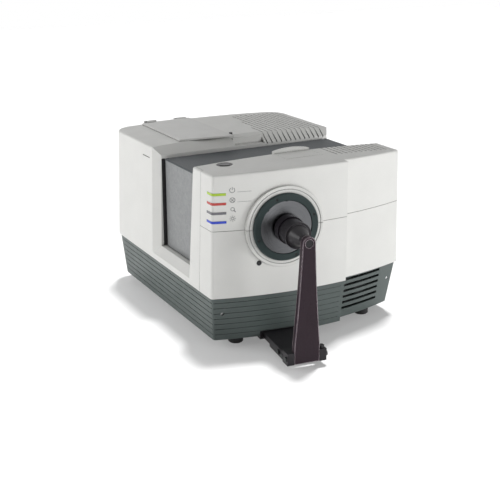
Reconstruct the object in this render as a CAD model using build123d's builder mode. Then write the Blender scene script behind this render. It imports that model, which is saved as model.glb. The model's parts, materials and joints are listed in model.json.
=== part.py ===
from build123d import *

import os
from math import cos, degrees, hypot, radians, sin, sqrt, tan

# Benchtop sphere colorimeter, millimetres, +Z up.  The front looks towards -Y and the
# origin is on the bench, below the middle of the whole outline.  Depths named here are
# measured back from the front left corner of the housing: back(depth) gives their Y.

os.makedirs("parts", exist_ok=True)

# ---------------------------------------------------------------- driving dimensions
body_width = 440.0        # across the sides, at the top edge
body_depth = 503.0        # front left corner to rear wall, at the top edge
bench_clearance = 20.0    # underside of the tray above the bench
tray_height = 96.0        # dark lower tray
cover_height = 245.5      # white housing above the tray, at its sides
crown = 5.5               # how far the tops arch up in the middle
wall = 4.0                # moulded wall of tray and housing
seam = 0.8                # open joint line between mouldings
fit = 0.3                 # gap between pieces that lie against each other
running = 0.05            # radial clearance of a shaft in its bore
edge_round = 4.0          # rounding of the housing's upper edges

side_flare = 7.4          # each side leans out by this much at the housing's foot
front_flare = 3.4
rear_flare = 5.0
tray_inset = 3.0          # the tray's upper edge stands in from the housing's foot
tray_side_tuck = 9.8      # how far the tray narrows towards the bench
tray_front_tuck = 13.5
tray_rear_tuck = 5.4
rear_corner_radius = 38.0
front_corner_radius = 7.0

port_turn = 8.0           # the sample port looks this many degrees to the left of -Y
bend_across = 281.4       # left side to the bend in the front
front_bulge = 13.7        # sagitta of the bowed panel round the port
right_bulge = 4.5
bend_step = 15.0          # the right panel stands back from the bend
right_setback = 46.2      # bend to the right front corner, in depth

compartment_front = 82.0      # front module's back edge, at the top
compartment_front_low = 94.0  # the same edge at the sill
compartment_rear = 261.0      # front wall of the rear housing
sill_height = 30.3            # inner edge of the sill above the housing's foot
border_sill = 18.3            # height of the border's slope at the sill
border_width = 20.0           # sloping border round the side openings
border_depth = 12.6
border_drop = 15.0            # the same border across the top
front_seam_depth = 48.0       # where the front covers end at the sides
cover_side_inset = 6.0        # the upper cover's top plate stays inside the pillars

groove_pitch = 12.3           # ribbed tops
groove_width = 3.0
groove_depth = 1.2
groove_count = 13
groove_first_x = 50.0
front_groove_first_x = 74.6
front_groove_count = 11
groove_end_depth = 480.0
groove_fan_near_x = 37.0      # the ribbed area's left boundary runs from here
groove_fan_far_x = 76.0       # to here at its rear end
tray_groove_width = 1.3       # fine ribs of the tray
tray_groove_depth = 1.0
tray_groove_count = 7
louvre_count = 6
louvre_height = 6.0
louvre_pitch = 13.5
louvre_first_drop = 7.0       # middle of the top louvre below the tray's upper edge
louvre_width = 109.0
finger_recess_width = 74.0    # scoop in the rear housing's front border
finger_recess_x = 7.0
finger_recess_depth = 14.0
slot_depth = 294.0            # vent slit in the left wall
slot_length = 37.0
slot_height = 1.6
slot_drop = 25.5

port_rise = 136.8             # port axis above the housing's foot
sphere_bore_radius = 76.2     # six inch integrating sphere
sphere_wall = 3.4
sphere_flange = 8.4
sphere_flange_thickness = 3.0
sphere_setback = 82.6         # sphere's centre behind the panel
aperture_radius = 12.7        # measuring aperture, one inch across
port_hub_radius = 16.0
boss_radius = 81.0
boss_rise = 6.0
boss_groove_radius = 75.0
ring_radius = 68.0
ring_rise = 6.0
ring_spigot_radius = 60.0
ring_bore_radius = 50.0
plate_radius = 54.0
plate_thickness = 3.0
plate_recess = 1.5
port_screw_radius = 3.2
port_screw_circle = 61.0

arm_reach = 118.5         # front face of the clamp arm, out from the panel
arm_thickness = 12.0
arm_head_radius = 13.0
arm_waist_half = 18.4     # arm half width half way down
arm_foot_half = 26.4
arm_foot_rise = 35.2      # straight part of the foot
arm_bottom = 11.8         # above the bench
arm_pin_radius = 4.0
arm_pin_height = 24.0
clamp_half_width = 40.0
carriage_half = 38.0
carriage_bottom = 17.0
carriage_top = 29.0
carriage_inner_end = 100.0
cheek_length = 20.0
cheek_top = 36.0
cheek_bottom = 11.7
clamp_travel = 60.0
channel_wall = 6.0
channel_length = 118.0
channel_start = 14.0
pad_radius = 28.0
pad_length = 19.5
pad_wall = 2.2
pad_face = 3.5            # thickness of the pad's face
pad_gap = 14.5            # pad face out from the panel
plunger_stroke = 12.0
stem_radius = 6.0
stem_length = 42.0
neck_flange_start = 62.0
neck_flange_length = 6.0
neck_flange_radius = 26.5
cone_radius = 22.0
cone_end = 95.0
shaft_radius = 11.0
arm_spigot_radius = 8.0
spring_wire = 1.2
spring_radius = 10.0
spring_pocket_radius = 14.0
spring_pocket_depth = 20.0

foot_radius = 15.5
foot_inset_side = 64.0
foot_inset_front = 30.0
foot_inset_rear = 53.0
foot_screw_radius = 3.0
foot_screw_head = 5.5

liner_thickness = 3.0
liner_half = 200.0
liner_floor = 34.0            # compartment floor above the housing's foot
liner_ledge_drop = 24.8       # top of the sphere box below the roof
sphere_box_rear = 150.0       # depth of the sphere box's rear wall
cover_thickness = 4.0
cover_flap = 2.0
cover_front = 91.0
cover_rear = 253.0

lid_left = -152.0
lid_right = -32.0
lid_front_left = 290.0        # the lid's front edge runs askew
lid_front_right = 265.0
lid_rear = 494.0
lid_thickness = 3.7
lid_overlap = 6.0             # lid over the edge of its opening
lid_rim = 2.8
lid_front_land = 30.0         # lid edge to opening, at the right front
lid_axis_depth = 499.0
lid_barrel_radius = 2.4
lid_knuckle_length = 20.0
lid_knuckle_inset = 12.0
hinge_lug = 5.0
hinge_pin_radius = 1.2

door_left = -38.0
door_right = 46.0
door_front = 30.0
door_thickness = 3.0
door_barrel_radius = 2.5
door_lip_depth = 8.0
door_lip_end = 4.0
door_lip_middle = 8.5
door_pin_length = 15.0

button_x = -161.4
button_depth = 62.3
button_radius = 11.0
button_stroke = 2.0
button_length = 14.0
bezel_radius = 16.0
bezel_wall = 1.4
bezel_depth = 22.0
bezel_seat_rise = 0.9         # seat of the bezel above the roof's side height

indicator_height = 5.0
indicator_depth = 20.0        # how far round the left side
indicator_reach = 24.0        # how far along the front
indicator_thickness = 1.5
indicator_proud = 0.3
indicator_green_drop = 36.0
indicator_red_drop = 54.5
indicator_grey_drop = 72.8
indicator_blue_drop = 90.7

plug_radius = 5.0
plug_across = -53.0           # from the port axis
plug_drop = 69.8

lens_barrel_radius = 24.0
lens_radius = 20.0
lens_thickness = 6.0
lens_barrel_start = 256.0
spectrometer_front = 300.0
spectrometer_width = 140.0
spectrometer_length = 170.0
spectrometer_height = 154.0
view_hole_radius = 13.0

deck_rise = 12.0              # optics deck above the housing's foot
deck_thickness = 4.0
deck_half = 188.0
deck_front = 20.0
deck_rear = 470.0
post_radius = 6.0
bracket_width = 70.0
bracket_depth = 44.0
bracket_height = 53.0

lamp_wall = 2.0
lamp_depth = 66.0
lamp_snout_radius = 14.0
lamp_rise = 205.5             # beam height above the housing's foot
bulb_radius = 8.0
bulb_length = 30.0

panel_width = 130.0
panel_height = 66.0
panel_right = 60.0            # nearer end of the connector panel
panel_rise = 14.0             # above the tray's underside
panel_thickness = 2.0
inlet_width = 48.0
inlet_height = 28.0
rocker_width = 18.0
rocker_height = 26.0
rocker_swing = 20.0
socket_width = 14.0
socket_height = 12.0

supply_width = 110.0
supply_length = 140.0
supply_height = 60.0
board_height = 160.0
board_length = 160.0
fan_size = 80.0
fan_depth = 25.0
fan_bore_radius = 37.0
fan_blade_radius = 35.5
fan_hub_radius = 16.0
fan_blade_count = 7

# ---------------------------------------------------------------- derived places
half_width = body_width / 2
turn = radians(port_turn)
bend_x = bend_across - half_width
bend_depth = -bend_across * tan(turn)
tray_top = bench_clearance + tray_height
roof = tray_top + cover_height
port_height = tray_top + port_rise
above = roof + 8 * crown       # clear of everything on the roof

port_back = bend_depth / 2 - front_bulge * cos(turn)
port_x = -half_width + bend_across / 2 - front_bulge * sin(turn)
clamp_front_depth = port_back - arm_reach * cos(turn) - clamp_half_width * sin(turn)
front_y = -(body_depth + rear_flare + clamp_front_depth) / 2
crown_radius = (half_width**2 + crown**2) / (2 * crown)


def back(depth):
    """Y coordinate of a depth behind the housing's front left corner."""
    return front_y + depth


def roof_at(x):
    """Height of the arched roof above the bench at an X coordinate."""
    return roof + crown + sqrt(crown_radius**2 - x**2) - crown_radius


port = Plane(
    origin=(port_x, back(port_back), port_height),
    x_dir=(cos(turn), -sin(turn), 0),
    z_dir=(-sin(turn), -cos(turn), 0),
)
clamp_plan = Plane(
    origin=(port_x, back(port_back), 0),
    x_dir=(cos(turn), -sin(turn), 0),
    z_dir=(0, 0, 1),
)


def save(builder, name):
    """Label a finished piece and write it to its own file."""
    builder.part.label = name
    export_step(builder.part, f"parts/{name}.step")


def slab(plane, left, right, low, high, start, end):
    """Box between two corners of a plane and two distances from it."""
    with BuildPart() as block:
        with BuildSketch(plane.offset(start)):
            with Locations(((left + right) / 2, (low + high) / 2)):
                Rectangle(right - left, high - low)
        extrude(amount=end - start)
    return block.part


def room(left, right, near, far, low, high):
    """Box between X, depth and Z limits."""
    return slab(Plane.XY, left, right, back(near), back(far), low, high)


def outline(side, front, rear, inward):
    """Plan outline, grown at the sides, the front and the rear, then drawn inward."""
    side = side - inward
    front = front - inward
    rear = rear - inward
    left_front = (-half_width - side, back(-front))
    bend = (bend_x - inward, back(bend_depth - front))
    step = (bend_x - inward, back(bend_depth + bend_step - front))
    right_front = (half_width + side, back(bend_depth + right_setback - front))
    rear_y = back(body_depth + rear)
    with BuildLine() as edge:
        SagittaArc(left_front, bend, -front_bulge)
        Line(bend, step)
        SagittaArc(step, right_front, -right_bulge)
        Polyline(
            right_front,
            (half_width + side, rear_y),
            (-half_width - side, rear_y),
            left_front,
        )
    make_face(edge.edges())


def housing_outline(height, inward=0.0):
    """Outline of the flared housing at a height, or of its hollow at a wall inward."""
    low = (roof - height) / cover_height
    outline(side_flare * low, front_flare * low, rear_flare * low, inward)


def tray_outline(height, inward=0.0):
    """Outline of the tapering tray at a height."""
    low = (tray_top - height) / tray_height
    outline(
        side_flare - tray_inset - tray_side_tuck * low,
        front_flare - tray_inset - tray_front_tuck * low,
        rear_flare - tray_inset - tray_rear_tuck * low,
        inward,
    )


def round_outline(sketch, rear_radius, front_radius):
    """Round the rear corners and the two front corners of an outline."""
    fillet(sketch.vertices().group_by(Axis.Y)[-1], rear_radius)
    fillet(sketch.vertices().group_by(Axis.X)[-1].sort_by(Axis.Y)[0], front_radius)
    fillet(sketch.vertices().group_by(Axis.X)[0].sort_by(Axis.Y)[0], front_radius)


def arched_layer(low, high, left, right, near, far):
    """Layer that follows the roof's arch between two heights above it."""
    with BuildPart() as layer:
        with BuildSketch(Plane.XZ.offset(-back(near))) as section:
            with BuildLine() as edge:
                middle = (left + right) / 2
                ThreePointArc(
                    (left, roof_at(left) + high),
                    (middle, roof_at(middle) + high),
                    (right, roof_at(right) + high),
                )
                Line((right, roof_at(right) + high), (right, roof_at(right) + low))
                ThreePointArc(
                    (right, roof_at(right) + low),
                    (middle, roof_at(middle) + low),
                    (left, roof_at(left) + low),
                )
                Line((left, roof_at(left) + low), (left, roof_at(left) + high))
            make_face(edge.edges())
        extrude(amount=near - far)
    return layer.part


def blank(inward):
    """Solid form of the housing, or of its hollow when drawn a wall inward."""
    with BuildPart() as form:
        for height in (tray_top, above):
            with BuildSketch(Plane.XY.offset(height)) as level:
                housing_outline(height, inward)
                round_outline(level, rear_corner_radius - inward, front_corner_radius - inward)
        loft(ruled=True)
        under_roof = tray_top - above - inward
        span = body_width * 0.55
        add(
            arched_layer(under_roof, -inward, -span, span, -2 * front_bulge - 60, 1.1 * body_depth),
            mode=Mode.INTERSECT,
        )
        if inward == 0:
            fillet(form.faces().sort_by(Axis.Z)[-1].edges(), edge_round)
    return form.part


def saddle(grow):
    """Space of the sample compartment with its sloping borders, grown by a wall."""
    sill = tray_top + sill_height - grow
    rear = compartment_rear + grow
    side_shift = grow * (hypot(border_width, border_depth) - border_depth) / border_width
    top_shift = grow * (hypot(border_width, border_drop) - border_drop) / border_width
    lean = side_flare / cover_height
    side_wall = Plane(origin=(-half_width, front_y, roof), x_dir=(0, -1, 0), z_dir=(-1, 0, lean))
    with BuildPart() as space:
        for offset in (wall, -border_depth - side_shift):
            out = 1 + (offset + side_shift) / border_depth
            far = rear + border_width * out
            low = sill - border_sill * out - roof
            near = compartment_front_low + 1 - grow
            with BuildSketch(side_wall.offset(offset)):
                with Locations((-(near + far) / 2, (low + above - roof) / 2)):
                    Rectangle(far - near, above - roof - low)
        loft(ruled=True)
        mirror(about=Plane.YZ)
        with BuildSketch(Plane.YZ):
            with BuildLine():
                Polyline(
                    (back(compartment_front - grow), above),
                    (back(compartment_front - grow), roof),
                    (back(compartment_front_low - grow), sill),
                    (back(rear), sill),
                    (back(rear), roof - border_drop - top_shift),
                    (back(rear + border_width), roof - top_shift),
                    (back(rear + 2 * border_width), roof + border_drop - top_shift),
                    (back(rear + 2 * border_width), above),
                    close=True,
                )
            make_face()
        extrude(amount=body_width, both=True)
    return space.part


# ---------------------------------------------------------------- housing mouldings
hollow = blank(wall) - saddle(wall)
boss_bore = ring_spigot_radius + fit

with BuildPart() as shell:
    add(blank(0))
    add(saddle(0), mode=Mode.SUBTRACT)
    add(hollow, mode=Mode.SUBTRACT)

front_zone = room(
    -body_width, body_width, -body_depth, front_seam_depth, 0, above
) + room(
    -half_width + cover_side_inset, half_width - cover_side_inset,
    -body_depth, compartment_front_low, roof - 1.5 * wall, above,
)
rear_zone = room(
    -body_width, body_width, -body_depth, front_seam_depth + seam, 0, above
) + room(
    -half_width + cover_side_inset - seam, half_width - cover_side_inset + seam,
    -body_depth, compartment_front_low, roof - 1.5 * wall - seam, above,
)

lid_opening_left = lid_left + lid_overlap
lid_opening_right = lid_right - lid_overlap
lid_opening_front = lid_front_right + lid_front_land
lid_opening_rear = lid_rear - lid_overlap
lid_axis_height = roof_at(0) + fit + lid_barrel_radius
lid_knuckle_starts = (
    lid_left + lid_knuckle_inset,
    lid_right - lid_knuckle_inset - lid_knuckle_length,
)
view_x = port_x + sphere_setback * sin(turn)
sphere_depth = port_back + sphere_setback * cos(turn)
lens_axis = Plane(origin=(view_x, 0, port_height), x_dir=(1, 0, 0), z_dir=(0, 1, 0))
beam_axis = Plane(origin=(view_x, 0, tray_top + lamp_rise), x_dir=(1, 0, 0), z_dir=(0, 1, 0))
sphere_outer = sphere_bore_radius + sphere_wall
sphere_limit = 2 * sphere_outer
sphere_centre = (view_x, back(sphere_depth), port_height)
lens_line = Plane(origin=sphere_centre, x_dir=(1, 0, 0), z_dir=(0, 1, 0))
beam_tilt = (lamp_rise - port_rise) / (lens_barrel_start - sphere_depth)
beam_line = Plane(origin=sphere_centre, x_dir=(1, 0, 0), z_dir=(0, 1, beam_tilt))


def along(axis, near, far, outer, inner=0.0):
    """Tube or rod along a Y axis plane between two depths."""
    with BuildPart() as rod:
        with BuildSketch(axis.offset(back(near))):
            Circle(outer)
            if inner > 0:
                Circle(inner, mode=Mode.SUBTRACT)
        extrude(amount=far - near)
    return rod.part


def across(x_start, x_end, depth, height, radius):
    """Rod along X."""
    with BuildPart() as rod:
        with BuildSketch(Plane.YZ.offset(x_start)):
            with Locations((back(depth), height)):
                Circle(radius)
        extrude(amount=x_end - x_start)
    return rod.part


def top_groove(x, near, far):
    """Cutter of one groove in the ribbed rear top, running over its sloping border."""
    floor = roof_at(x) - groove_depth
    slope = border_drop / border_width
    start = compartment_rear + border_width - groove_depth / slope
    with BuildPart() as cutter:
        with BuildSketch(Plane.YZ.offset(x - groove_width / 2)):
            with BuildLine():
                Polyline(
                    (back(far), above),
                    (back(far), floor),
                    (back(start + 2 * groove_depth + (floor - roof) / slope), floor),
                    (back(near + 2 * groove_depth), roof - border_drop - 2 * groove_depth),
                    (back(near - border_width), roof - border_drop - 2 * groove_depth),
                    (back(near - border_width), above),
                    close=True,
                )
            make_face()
        extrude(amount=groove_width)
    return cutter.part


with BuildPart() as rear_housing:
    add(shell.part)
    add(rear_zone, mode=Mode.SUBTRACT)
    add(
        room(-liner_half - fit, liner_half + fit, front_seam_depth, compartment_rear,
             tray_top, roof - 1.5 * wall - seam),
        mode=Mode.SUBTRACT,
    )
    add(
        room(lid_opening_left, lid_opening_right, lid_opening_front, lid_opening_rear,
             roof - 2 * wall, above),
        mode=Mode.SUBTRACT,
    )
    lug_reach = lid_axis_depth - lid_rear
    for start in lid_knuckle_starts:
        for lug in (start - fit - hinge_lug, start + lid_knuckle_length + fit):
            add(across(lug, lug + hinge_lug, lid_axis_depth, lid_axis_height, lid_barrel_radius))
            add(
                room(lug, lug + hinge_lug, lid_axis_depth - lid_barrel_radius,
                     lid_axis_depth + lid_barrel_radius, roof - wall / 2, lid_axis_height)
            )
            add(
                across(lug, lug + hinge_lug, lid_axis_depth, lid_axis_height,
                       hinge_pin_radius + running),
                mode=Mode.SUBTRACT,
            )
    add(along(lens_axis, compartment_rear - 10, compartment_rear + 2 * wall,
              lens_barrel_radius + fit), mode=Mode.SUBTRACT)
    add(along(beam_axis, compartment_rear - 10, compartment_rear + 2 * wall,
              lamp_snout_radius + fit), mode=Mode.SUBTRACT)
    add(
        room(finger_recess_x - finger_recess_width / 2, finger_recess_x + finger_recess_width / 2,
             compartment_rear - 1, compartment_rear + finger_recess_depth,
             roof - border_drop, above),
        mode=Mode.SUBTRACT,
    )
    add(
        room(finger_recess_x - finger_recess_width / 2, finger_recess_x + finger_recess_width / 2,
             compartment_rear + finger_recess_depth, compartment_rear + finger_recess_depth + wall,
             roof - border_drop - wall, roof)
        + room(finger_recess_x - finger_recess_width / 2 - wall,
               finger_recess_x + finger_recess_width / 2 + wall,
               compartment_rear + wall, compartment_rear + finger_recess_depth + wall,
               roof - border_drop - wall, roof - border_drop)
    )
    for rib in range(groove_count):
        rib_x = groove_first_x + rib * groove_pitch
        fan = (rib_x - groove_fan_near_x) / (groove_fan_far_x - groove_fan_near_x)
        reach = compartment_rear + min(1, fan) * (groove_end_depth - compartment_rear)
        add(top_groove(rib_x, compartment_rear, reach), mode=Mode.SUBTRACT)
    add(
        room(-half_width - 2 * side_flare, -half_width + 2 * wall,
             slot_depth, slot_depth + slot_length,
             roof - slot_drop - slot_height / 2, roof - slot_drop + slot_height / 2),
        mode=Mode.SUBTRACT,
    )
save(rear_housing, "rear_housing")

# ---------------------------------------------------------------- front covers
boss_start = -2 * wall
dish_height = roof + bezel_seat_rise
bezel_body_radius = button_radius + fit + bezel_wall
door_axis_depth = door_front + door_barrel_radius + fit
door_axis_height = roof_at(door_right) - door_barrel_radius
indicator_drops = (
    indicator_green_drop, indicator_red_drop, indicator_grey_drop, indicator_blue_drop,
)


def ring_solid(plane, start, end, outer, inner=0.0):
    """Disc or ring about a plane's axis between two distances from it."""
    with BuildPart() as disc:
        with BuildSketch(plane.offset(start)):
            Circle(outer)
            if inner > 0:
                Circle(inner, mode=Mode.SUBTRACT)
        extrude(amount=end - start)
    return disc.part


def indicator_strip(drop, outward, thickness, height, reach_more):
    """Band that follows the outside of the front left corner below the roof."""
    level = roof - drop - height / 2
    with BuildPart() as band:
        with BuildSketch(Plane.XY.offset(level)) as ring:
            housing_outline(level, -outward)
            round_outline(ring, rear_corner_radius, front_corner_radius)
        extrude(amount=height)
        with BuildSketch(Plane.XY.offset(level)) as inside:
            housing_outline(level, thickness - outward)
            round_outline(inside, rear_corner_radius, front_corner_radius - thickness)
        extrude(amount=height, mode=Mode.SUBTRACT)
        add(
            room(-half_width - 3 * side_flare, -half_width + indicator_reach + reach_more,
                 -indicator_depth, indicator_depth + reach_more, level - 1, level + height + 1),
            mode=Mode.INTERSECT,
        )
    return band.part


with BuildPart() as front_shell:
    add(shell.part)
    add(front_zone, mode=Mode.INTERSECT)
    add(ring_solid(port, boss_start, boss_rise, boss_radius))
    add(ring_solid(port, boss_rise - groove_depth, boss_rise + 1,
                   boss_groove_radius + seam, boss_groove_radius - seam), mode=Mode.SUBTRACT)
    add(ring_solid(port, 2 * boss_start, 2 * boss_rise, boss_bore), mode=Mode.SUBTRACT)
    with BuildSketch(port.offset(2 * boss_start)):
        with Locations((plug_across, -plug_drop)):
            Circle(plug_radius + running)
    extrude(amount=-3 * boss_start, mode=Mode.SUBTRACT)
    for drop in indicator_drops:
        add(indicator_strip(drop, 1.0, 1.0 + indicator_thickness, indicator_height, fit),
            mode=Mode.SUBTRACT)

port_seam = seam / 2

with BuildPart() as front_cover_lower:
    add(front_shell.part)
    add(room(-body_width, body_width, -body_depth, body_depth, port_height - port_seam, above),
        mode=Mode.SUBTRACT)
save(front_cover_lower, "front_cover_lower")

button_plan = Plane(origin=(button_x, back(button_depth), 0), z_dir=(0, 0, 1))

with BuildPart() as front_cover_upper:
    add(front_shell.part)
    add(room(-body_width, body_width, -body_depth, body_depth, 0, port_height + port_seam),
        mode=Mode.SUBTRACT)
    for rib in range(front_groove_count):
        rib_x = front_groove_first_x + rib * groove_pitch
        add(
            room(rib_x - groove_width / 2, rib_x + groove_width / 2, indicator_depth,
                 compartment_front_low, roof_at(rib_x) - groove_depth, above),
            mode=Mode.SUBTRACT,
        )
    add(ring_solid(button_plan, dish_height, above, bezel_radius + fit), mode=Mode.SUBTRACT)
    add(ring_solid(button_plan, roof - 4 * wall, above, bezel_body_radius + fit),
        mode=Mode.SUBTRACT)
    add(
        room(door_left - fit, door_right + fit, door_front, compartment_front_low,
             roof - 2 * wall, above),
        mode=Mode.SUBTRACT,
    )
    add(
        room(door_left - fit - door_pin_length, door_left - fit, door_front - wall,
             door_axis_depth + wall, door_axis_height - wall, roof + crown / 2)
        + room(door_right + fit, door_right + fit + door_pin_length, door_front - wall,
               door_axis_depth + wall, door_axis_height - wall, roof + crown / 2)
    )
    add(
        across(door_left - door_pin_length / 2, door_right + door_pin_length / 2,
               door_axis_depth, door_axis_height, hinge_pin_radius + running),
        mode=Mode.SUBTRACT,
    )
save(front_cover_upper, "front_cover_upper")

for drop, colour in zip(indicator_drops, ("green", "red", "grey", "blue")):
    with BuildPart() as indicator:
        add(indicator_strip(drop, indicator_proud, indicator_thickness,
                            indicator_height - 2 * running, 0))
    save(indicator, f"indicator_{colour}")

with BuildPart() as accessory_plug:
    with BuildSketch(port.offset(-wall)):
        with Locations((plug_across, -plug_drop)):
            Circle(plug_radius)
    extrude(amount=wall + crown / 2)
    chamfer(accessory_plug.edges().sort_by(Axis.Y)[0], seam)
save(accessory_plug, "accessory_plug")

# ---------------------------------------------------------------- tray
channel_half = carriage_half + fit + channel_wall
channel_top = carriage_top + fit + wall / 2
foot_places = [
    (side * (half_width - foot_inset_side), back(depth))
    for side in (-1, 1)
    for depth in (foot_inset_front, body_depth - foot_inset_rear)
]
rear_lean = tray_rear_tuck / hypot(tray_rear_tuck, tray_height)
rear_wall = Plane(
    origin=(0, back(body_depth + rear_flare - tray_inset), tray_top),
    x_dir=(-1, 0, 0),
    z_dir=(0, sqrt(1 - rear_lean**2), -rear_lean),
)
panel_low = panel_rise - tray_height
panel_high = panel_low + panel_height
panel_left = -panel_right - panel_width
panel_middle = (panel_low + panel_high) / 2
inlet_x = panel_left + 0.7 * inlet_width
rocker_x = inlet_x + inlet_width / 2 + rocker_width
socket_x = rocker_x + rocker_width + socket_width
front_screw_height = 80.0
front_screw_radius = 3.4
left_screw_x = -201.8
right_screw_x = 204.0
right_lean = (right_setback - bend_step) / (half_width - bend_x)


def tray_groove(level):
    """Cutter of one fine rib line round the left side and the left front."""
    with BuildPart() as band:
        with BuildSketch(Plane.XY.offset(level)):
            tray_outline(level, -wall)
        extrude(amount=tray_groove_width)
        with BuildSketch(Plane.XY.offset(level)):
            tray_outline(level, tray_groove_depth)
        extrude(amount=tray_groove_width, mode=Mode.SUBTRACT)
        add(
            room(-body_width, bend_x - 2 * wall, -body_depth,
                 body_depth - rear_corner_radius, 0, above),
            mode=Mode.INTERSECT,
        )
    return band.part


def front_screw_depth(x):
    """Depth of the tray's front face at the front screws' height."""
    low = (tray_top - front_screw_height) / tray_height
    face = front_flare - tray_inset - tray_front_tuck * low
    if x > bend_x:
        return bend_depth + bend_step + (x - bend_x) * right_lean - face
    return -(x + half_width) * tan(turn) - face


with BuildPart() as base_tray:
    for height in (bench_clearance, tray_top):
        with BuildSketch(Plane.XY.offset(height)) as level:
            tray_outline(height)
            round_outline(level, rear_corner_radius, front_corner_radius)
    loft(ruled=True)
    for height in (bench_clearance + wall, above):
        with BuildSketch(Plane.XY.offset(height)) as level:
            tray_outline(height, wall)
            round_outline(level, rear_corner_radius - wall, front_corner_radius - wall)
    loft(ruled=True, mode=Mode.SUBTRACT)
    for rib in range(tray_groove_count):
        rib_level = tray_top - (rib + 1) * tray_height / (tray_groove_count + 1)
        add(tray_groove(rib_level), mode=Mode.SUBTRACT)
    for louvre in range(louvre_count):
        middle = tray_top - louvre_first_drop - louvre * louvre_pitch
        add(
            room(bend_x + wall, bend_x + wall + louvre_width, -body_depth,
                 bend_depth + right_setback + wall, middle - louvre_height / 2,
                 middle + louvre_height / 2),
            mode=Mode.SUBTRACT,
        )
    add(
        slab(clamp_plan, -channel_half - fit, channel_half + fit,
             -boss_radius, channel_start + channel_length + fit, 0, channel_top),
        mode=Mode.SUBTRACT,
    )
    with BuildSketch(Plane.XY):
        with Locations(foot_places):
            Circle(foot_screw_radius)
    extrude(amount=tray_top, mode=Mode.SUBTRACT)
    add(
        slab(rear_wall, panel_left, panel_left + panel_width, panel_low, panel_high,
             -3 * wall, wall),
        mode=Mode.SUBTRACT,
    )
    for screw_x in (left_screw_x, right_screw_x):
        face = front_screw_depth(screw_x)
        with BuildSketch(Plane.XZ.offset(-back(face + 2 * wall))):
            with Locations((screw_x, front_screw_height)):
                Circle(front_screw_radius)
        extrude(amount=4 * wall, mode=Mode.SUBTRACT)
save(base_tray, "base_tray")

with BuildPart() as front_screws:
    for screw_x in (left_screw_x, right_screw_x):
        face = front_screw_depth(screw_x)
        with BuildSketch(Plane.XZ.offset(-back(face + 2 * wall))):
            with Locations((screw_x, front_screw_height)):
                Circle(front_screw_radius)
        extrude(amount=2 * wall)
save(front_screws, "front_screws")

foot_recess = foot_screw_head + fit
with BuildPart() as feet:
    with BuildSketch(Plane.XY):
        with Locations(foot_places):
            Circle(foot_radius)
    extrude(amount=bench_clearance)
    chamfer(feet.edges().group_by(Axis.Z)[0], wall / 2)
    with BuildSketch(Plane.XY):
        with Locations(foot_places):
            Circle(foot_recess)
    extrude(amount=bench_clearance / 2, mode=Mode.SUBTRACT)
    with BuildSketch(Plane.XY):
        with Locations(foot_places):
            Circle(foot_screw_radius)
    extrude(amount=bench_clearance, mode=Mode.SUBTRACT)
save(feet, "feet")

with BuildPart() as foot_screws:
    with BuildSketch(Plane.XY.offset(bench_clearance / 2)):
        with Locations(foot_places):
            Circle(foot_screw_head)
    extrude(amount=-wall)
    with BuildSketch(Plane.XY.offset(bench_clearance / 2)):
        with Locations(foot_places):
            Circle(foot_screw_radius)
    extrude(amount=bench_clearance / 2 + wall)
save(foot_screws, "foot_screws")

# ---------------------------------------------------------------- compartment liner and cover
liner_floor_top = tray_top + liner_floor
liner_top = roof - liner_ledge_drop
liner_rear = compartment_rear - fit
liner_front = compartment_front + fit


with BuildPart() as compartment_liner:
    with BuildSketch(Plane.YZ.offset(-liner_half)):
        with BuildLine():
            Polyline(
                (back(liner_front), liner_top),
                (back(sphere_box_rear), liner_top),
                (back(sphere_box_rear), liner_floor_top),
                (back(liner_rear - liner_thickness), liner_floor_top),
                (back(liner_rear - liner_thickness), liner_top),
                (back(liner_rear), liner_top),
                (back(liner_rear), liner_floor_top - liner_thickness),
                (back(sphere_box_rear - liner_thickness), liner_floor_top - liner_thickness),
                (back(sphere_box_rear - liner_thickness), liner_top - liner_thickness),
                (back(liner_front), liner_top - liner_thickness),
                close=True,
            )
        make_face()
    extrude(amount=2 * liner_half)
    with BuildSketch(Plane.YZ.offset(-liner_half)):
        with BuildLine():
            Polyline(
                (back(liner_front), liner_top),
                (back(sphere_box_rear), liner_top),
                (back(sphere_box_rear), liner_floor_top - liner_thickness),
                (back(compartment_front_low + fit), liner_floor_top - liner_thickness),
                close=True,
            )
        make_face()
    extrude(amount=liner_thickness)
    mirror(about=Plane.YZ)
    add(along(lens_axis, liner_rear - 2 * liner_thickness, liner_rear + 1,
              lens_barrel_radius + fit), mode=Mode.SUBTRACT)
    add(along(lens_axis, sphere_box_rear - 2 * liner_thickness, sphere_box_rear + 1,
              view_hole_radius), mode=Mode.SUBTRACT)
    add(along(beam_axis, liner_rear - 2 * liner_thickness, liner_rear + 1,
              lamp_snout_radius + fit), mode=Mode.SUBTRACT)
    add(ring_solid(beam_line, 0, sphere_limit, lamp_snout_radius), mode=Mode.SUBTRACT)
save(compartment_liner, "compartment_liner")

flap_inside = liner_half + fit
cover_bottom = liner_top + fit
cover_half = flap_inside + cover_flap
flap_bottom = tray_top + sill_height + 1.0

with BuildPart() as cover_top:
    add(room(-cover_half, cover_half, cover_front, cover_rear,
             cover_bottom, cover_bottom + cover_thickness))
    fillet(cover_top.edges().group_by(Axis.Z)[-1], cover_thickness / 4)
save(cover_top, "cover_top")

flap_outline = (
    (back(cover_front), cover_bottom),
    (back(cover_rear), cover_bottom),
    (back(cover_rear), flap_bottom),
    (back(compartment_front_low + 2 * seam), flap_bottom),
)
for side, name in ((-1, "cover_flap_left"), (1, "cover_flap_right")):
    with BuildPart() as flap:
        with BuildSketch(Plane.YZ.offset(side * flap_inside)):
            with BuildLine():
                Polyline(*flap_outline, close=True)
            make_face()
        extrude(amount=side * cover_flap)
    save(flap, name)

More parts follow.
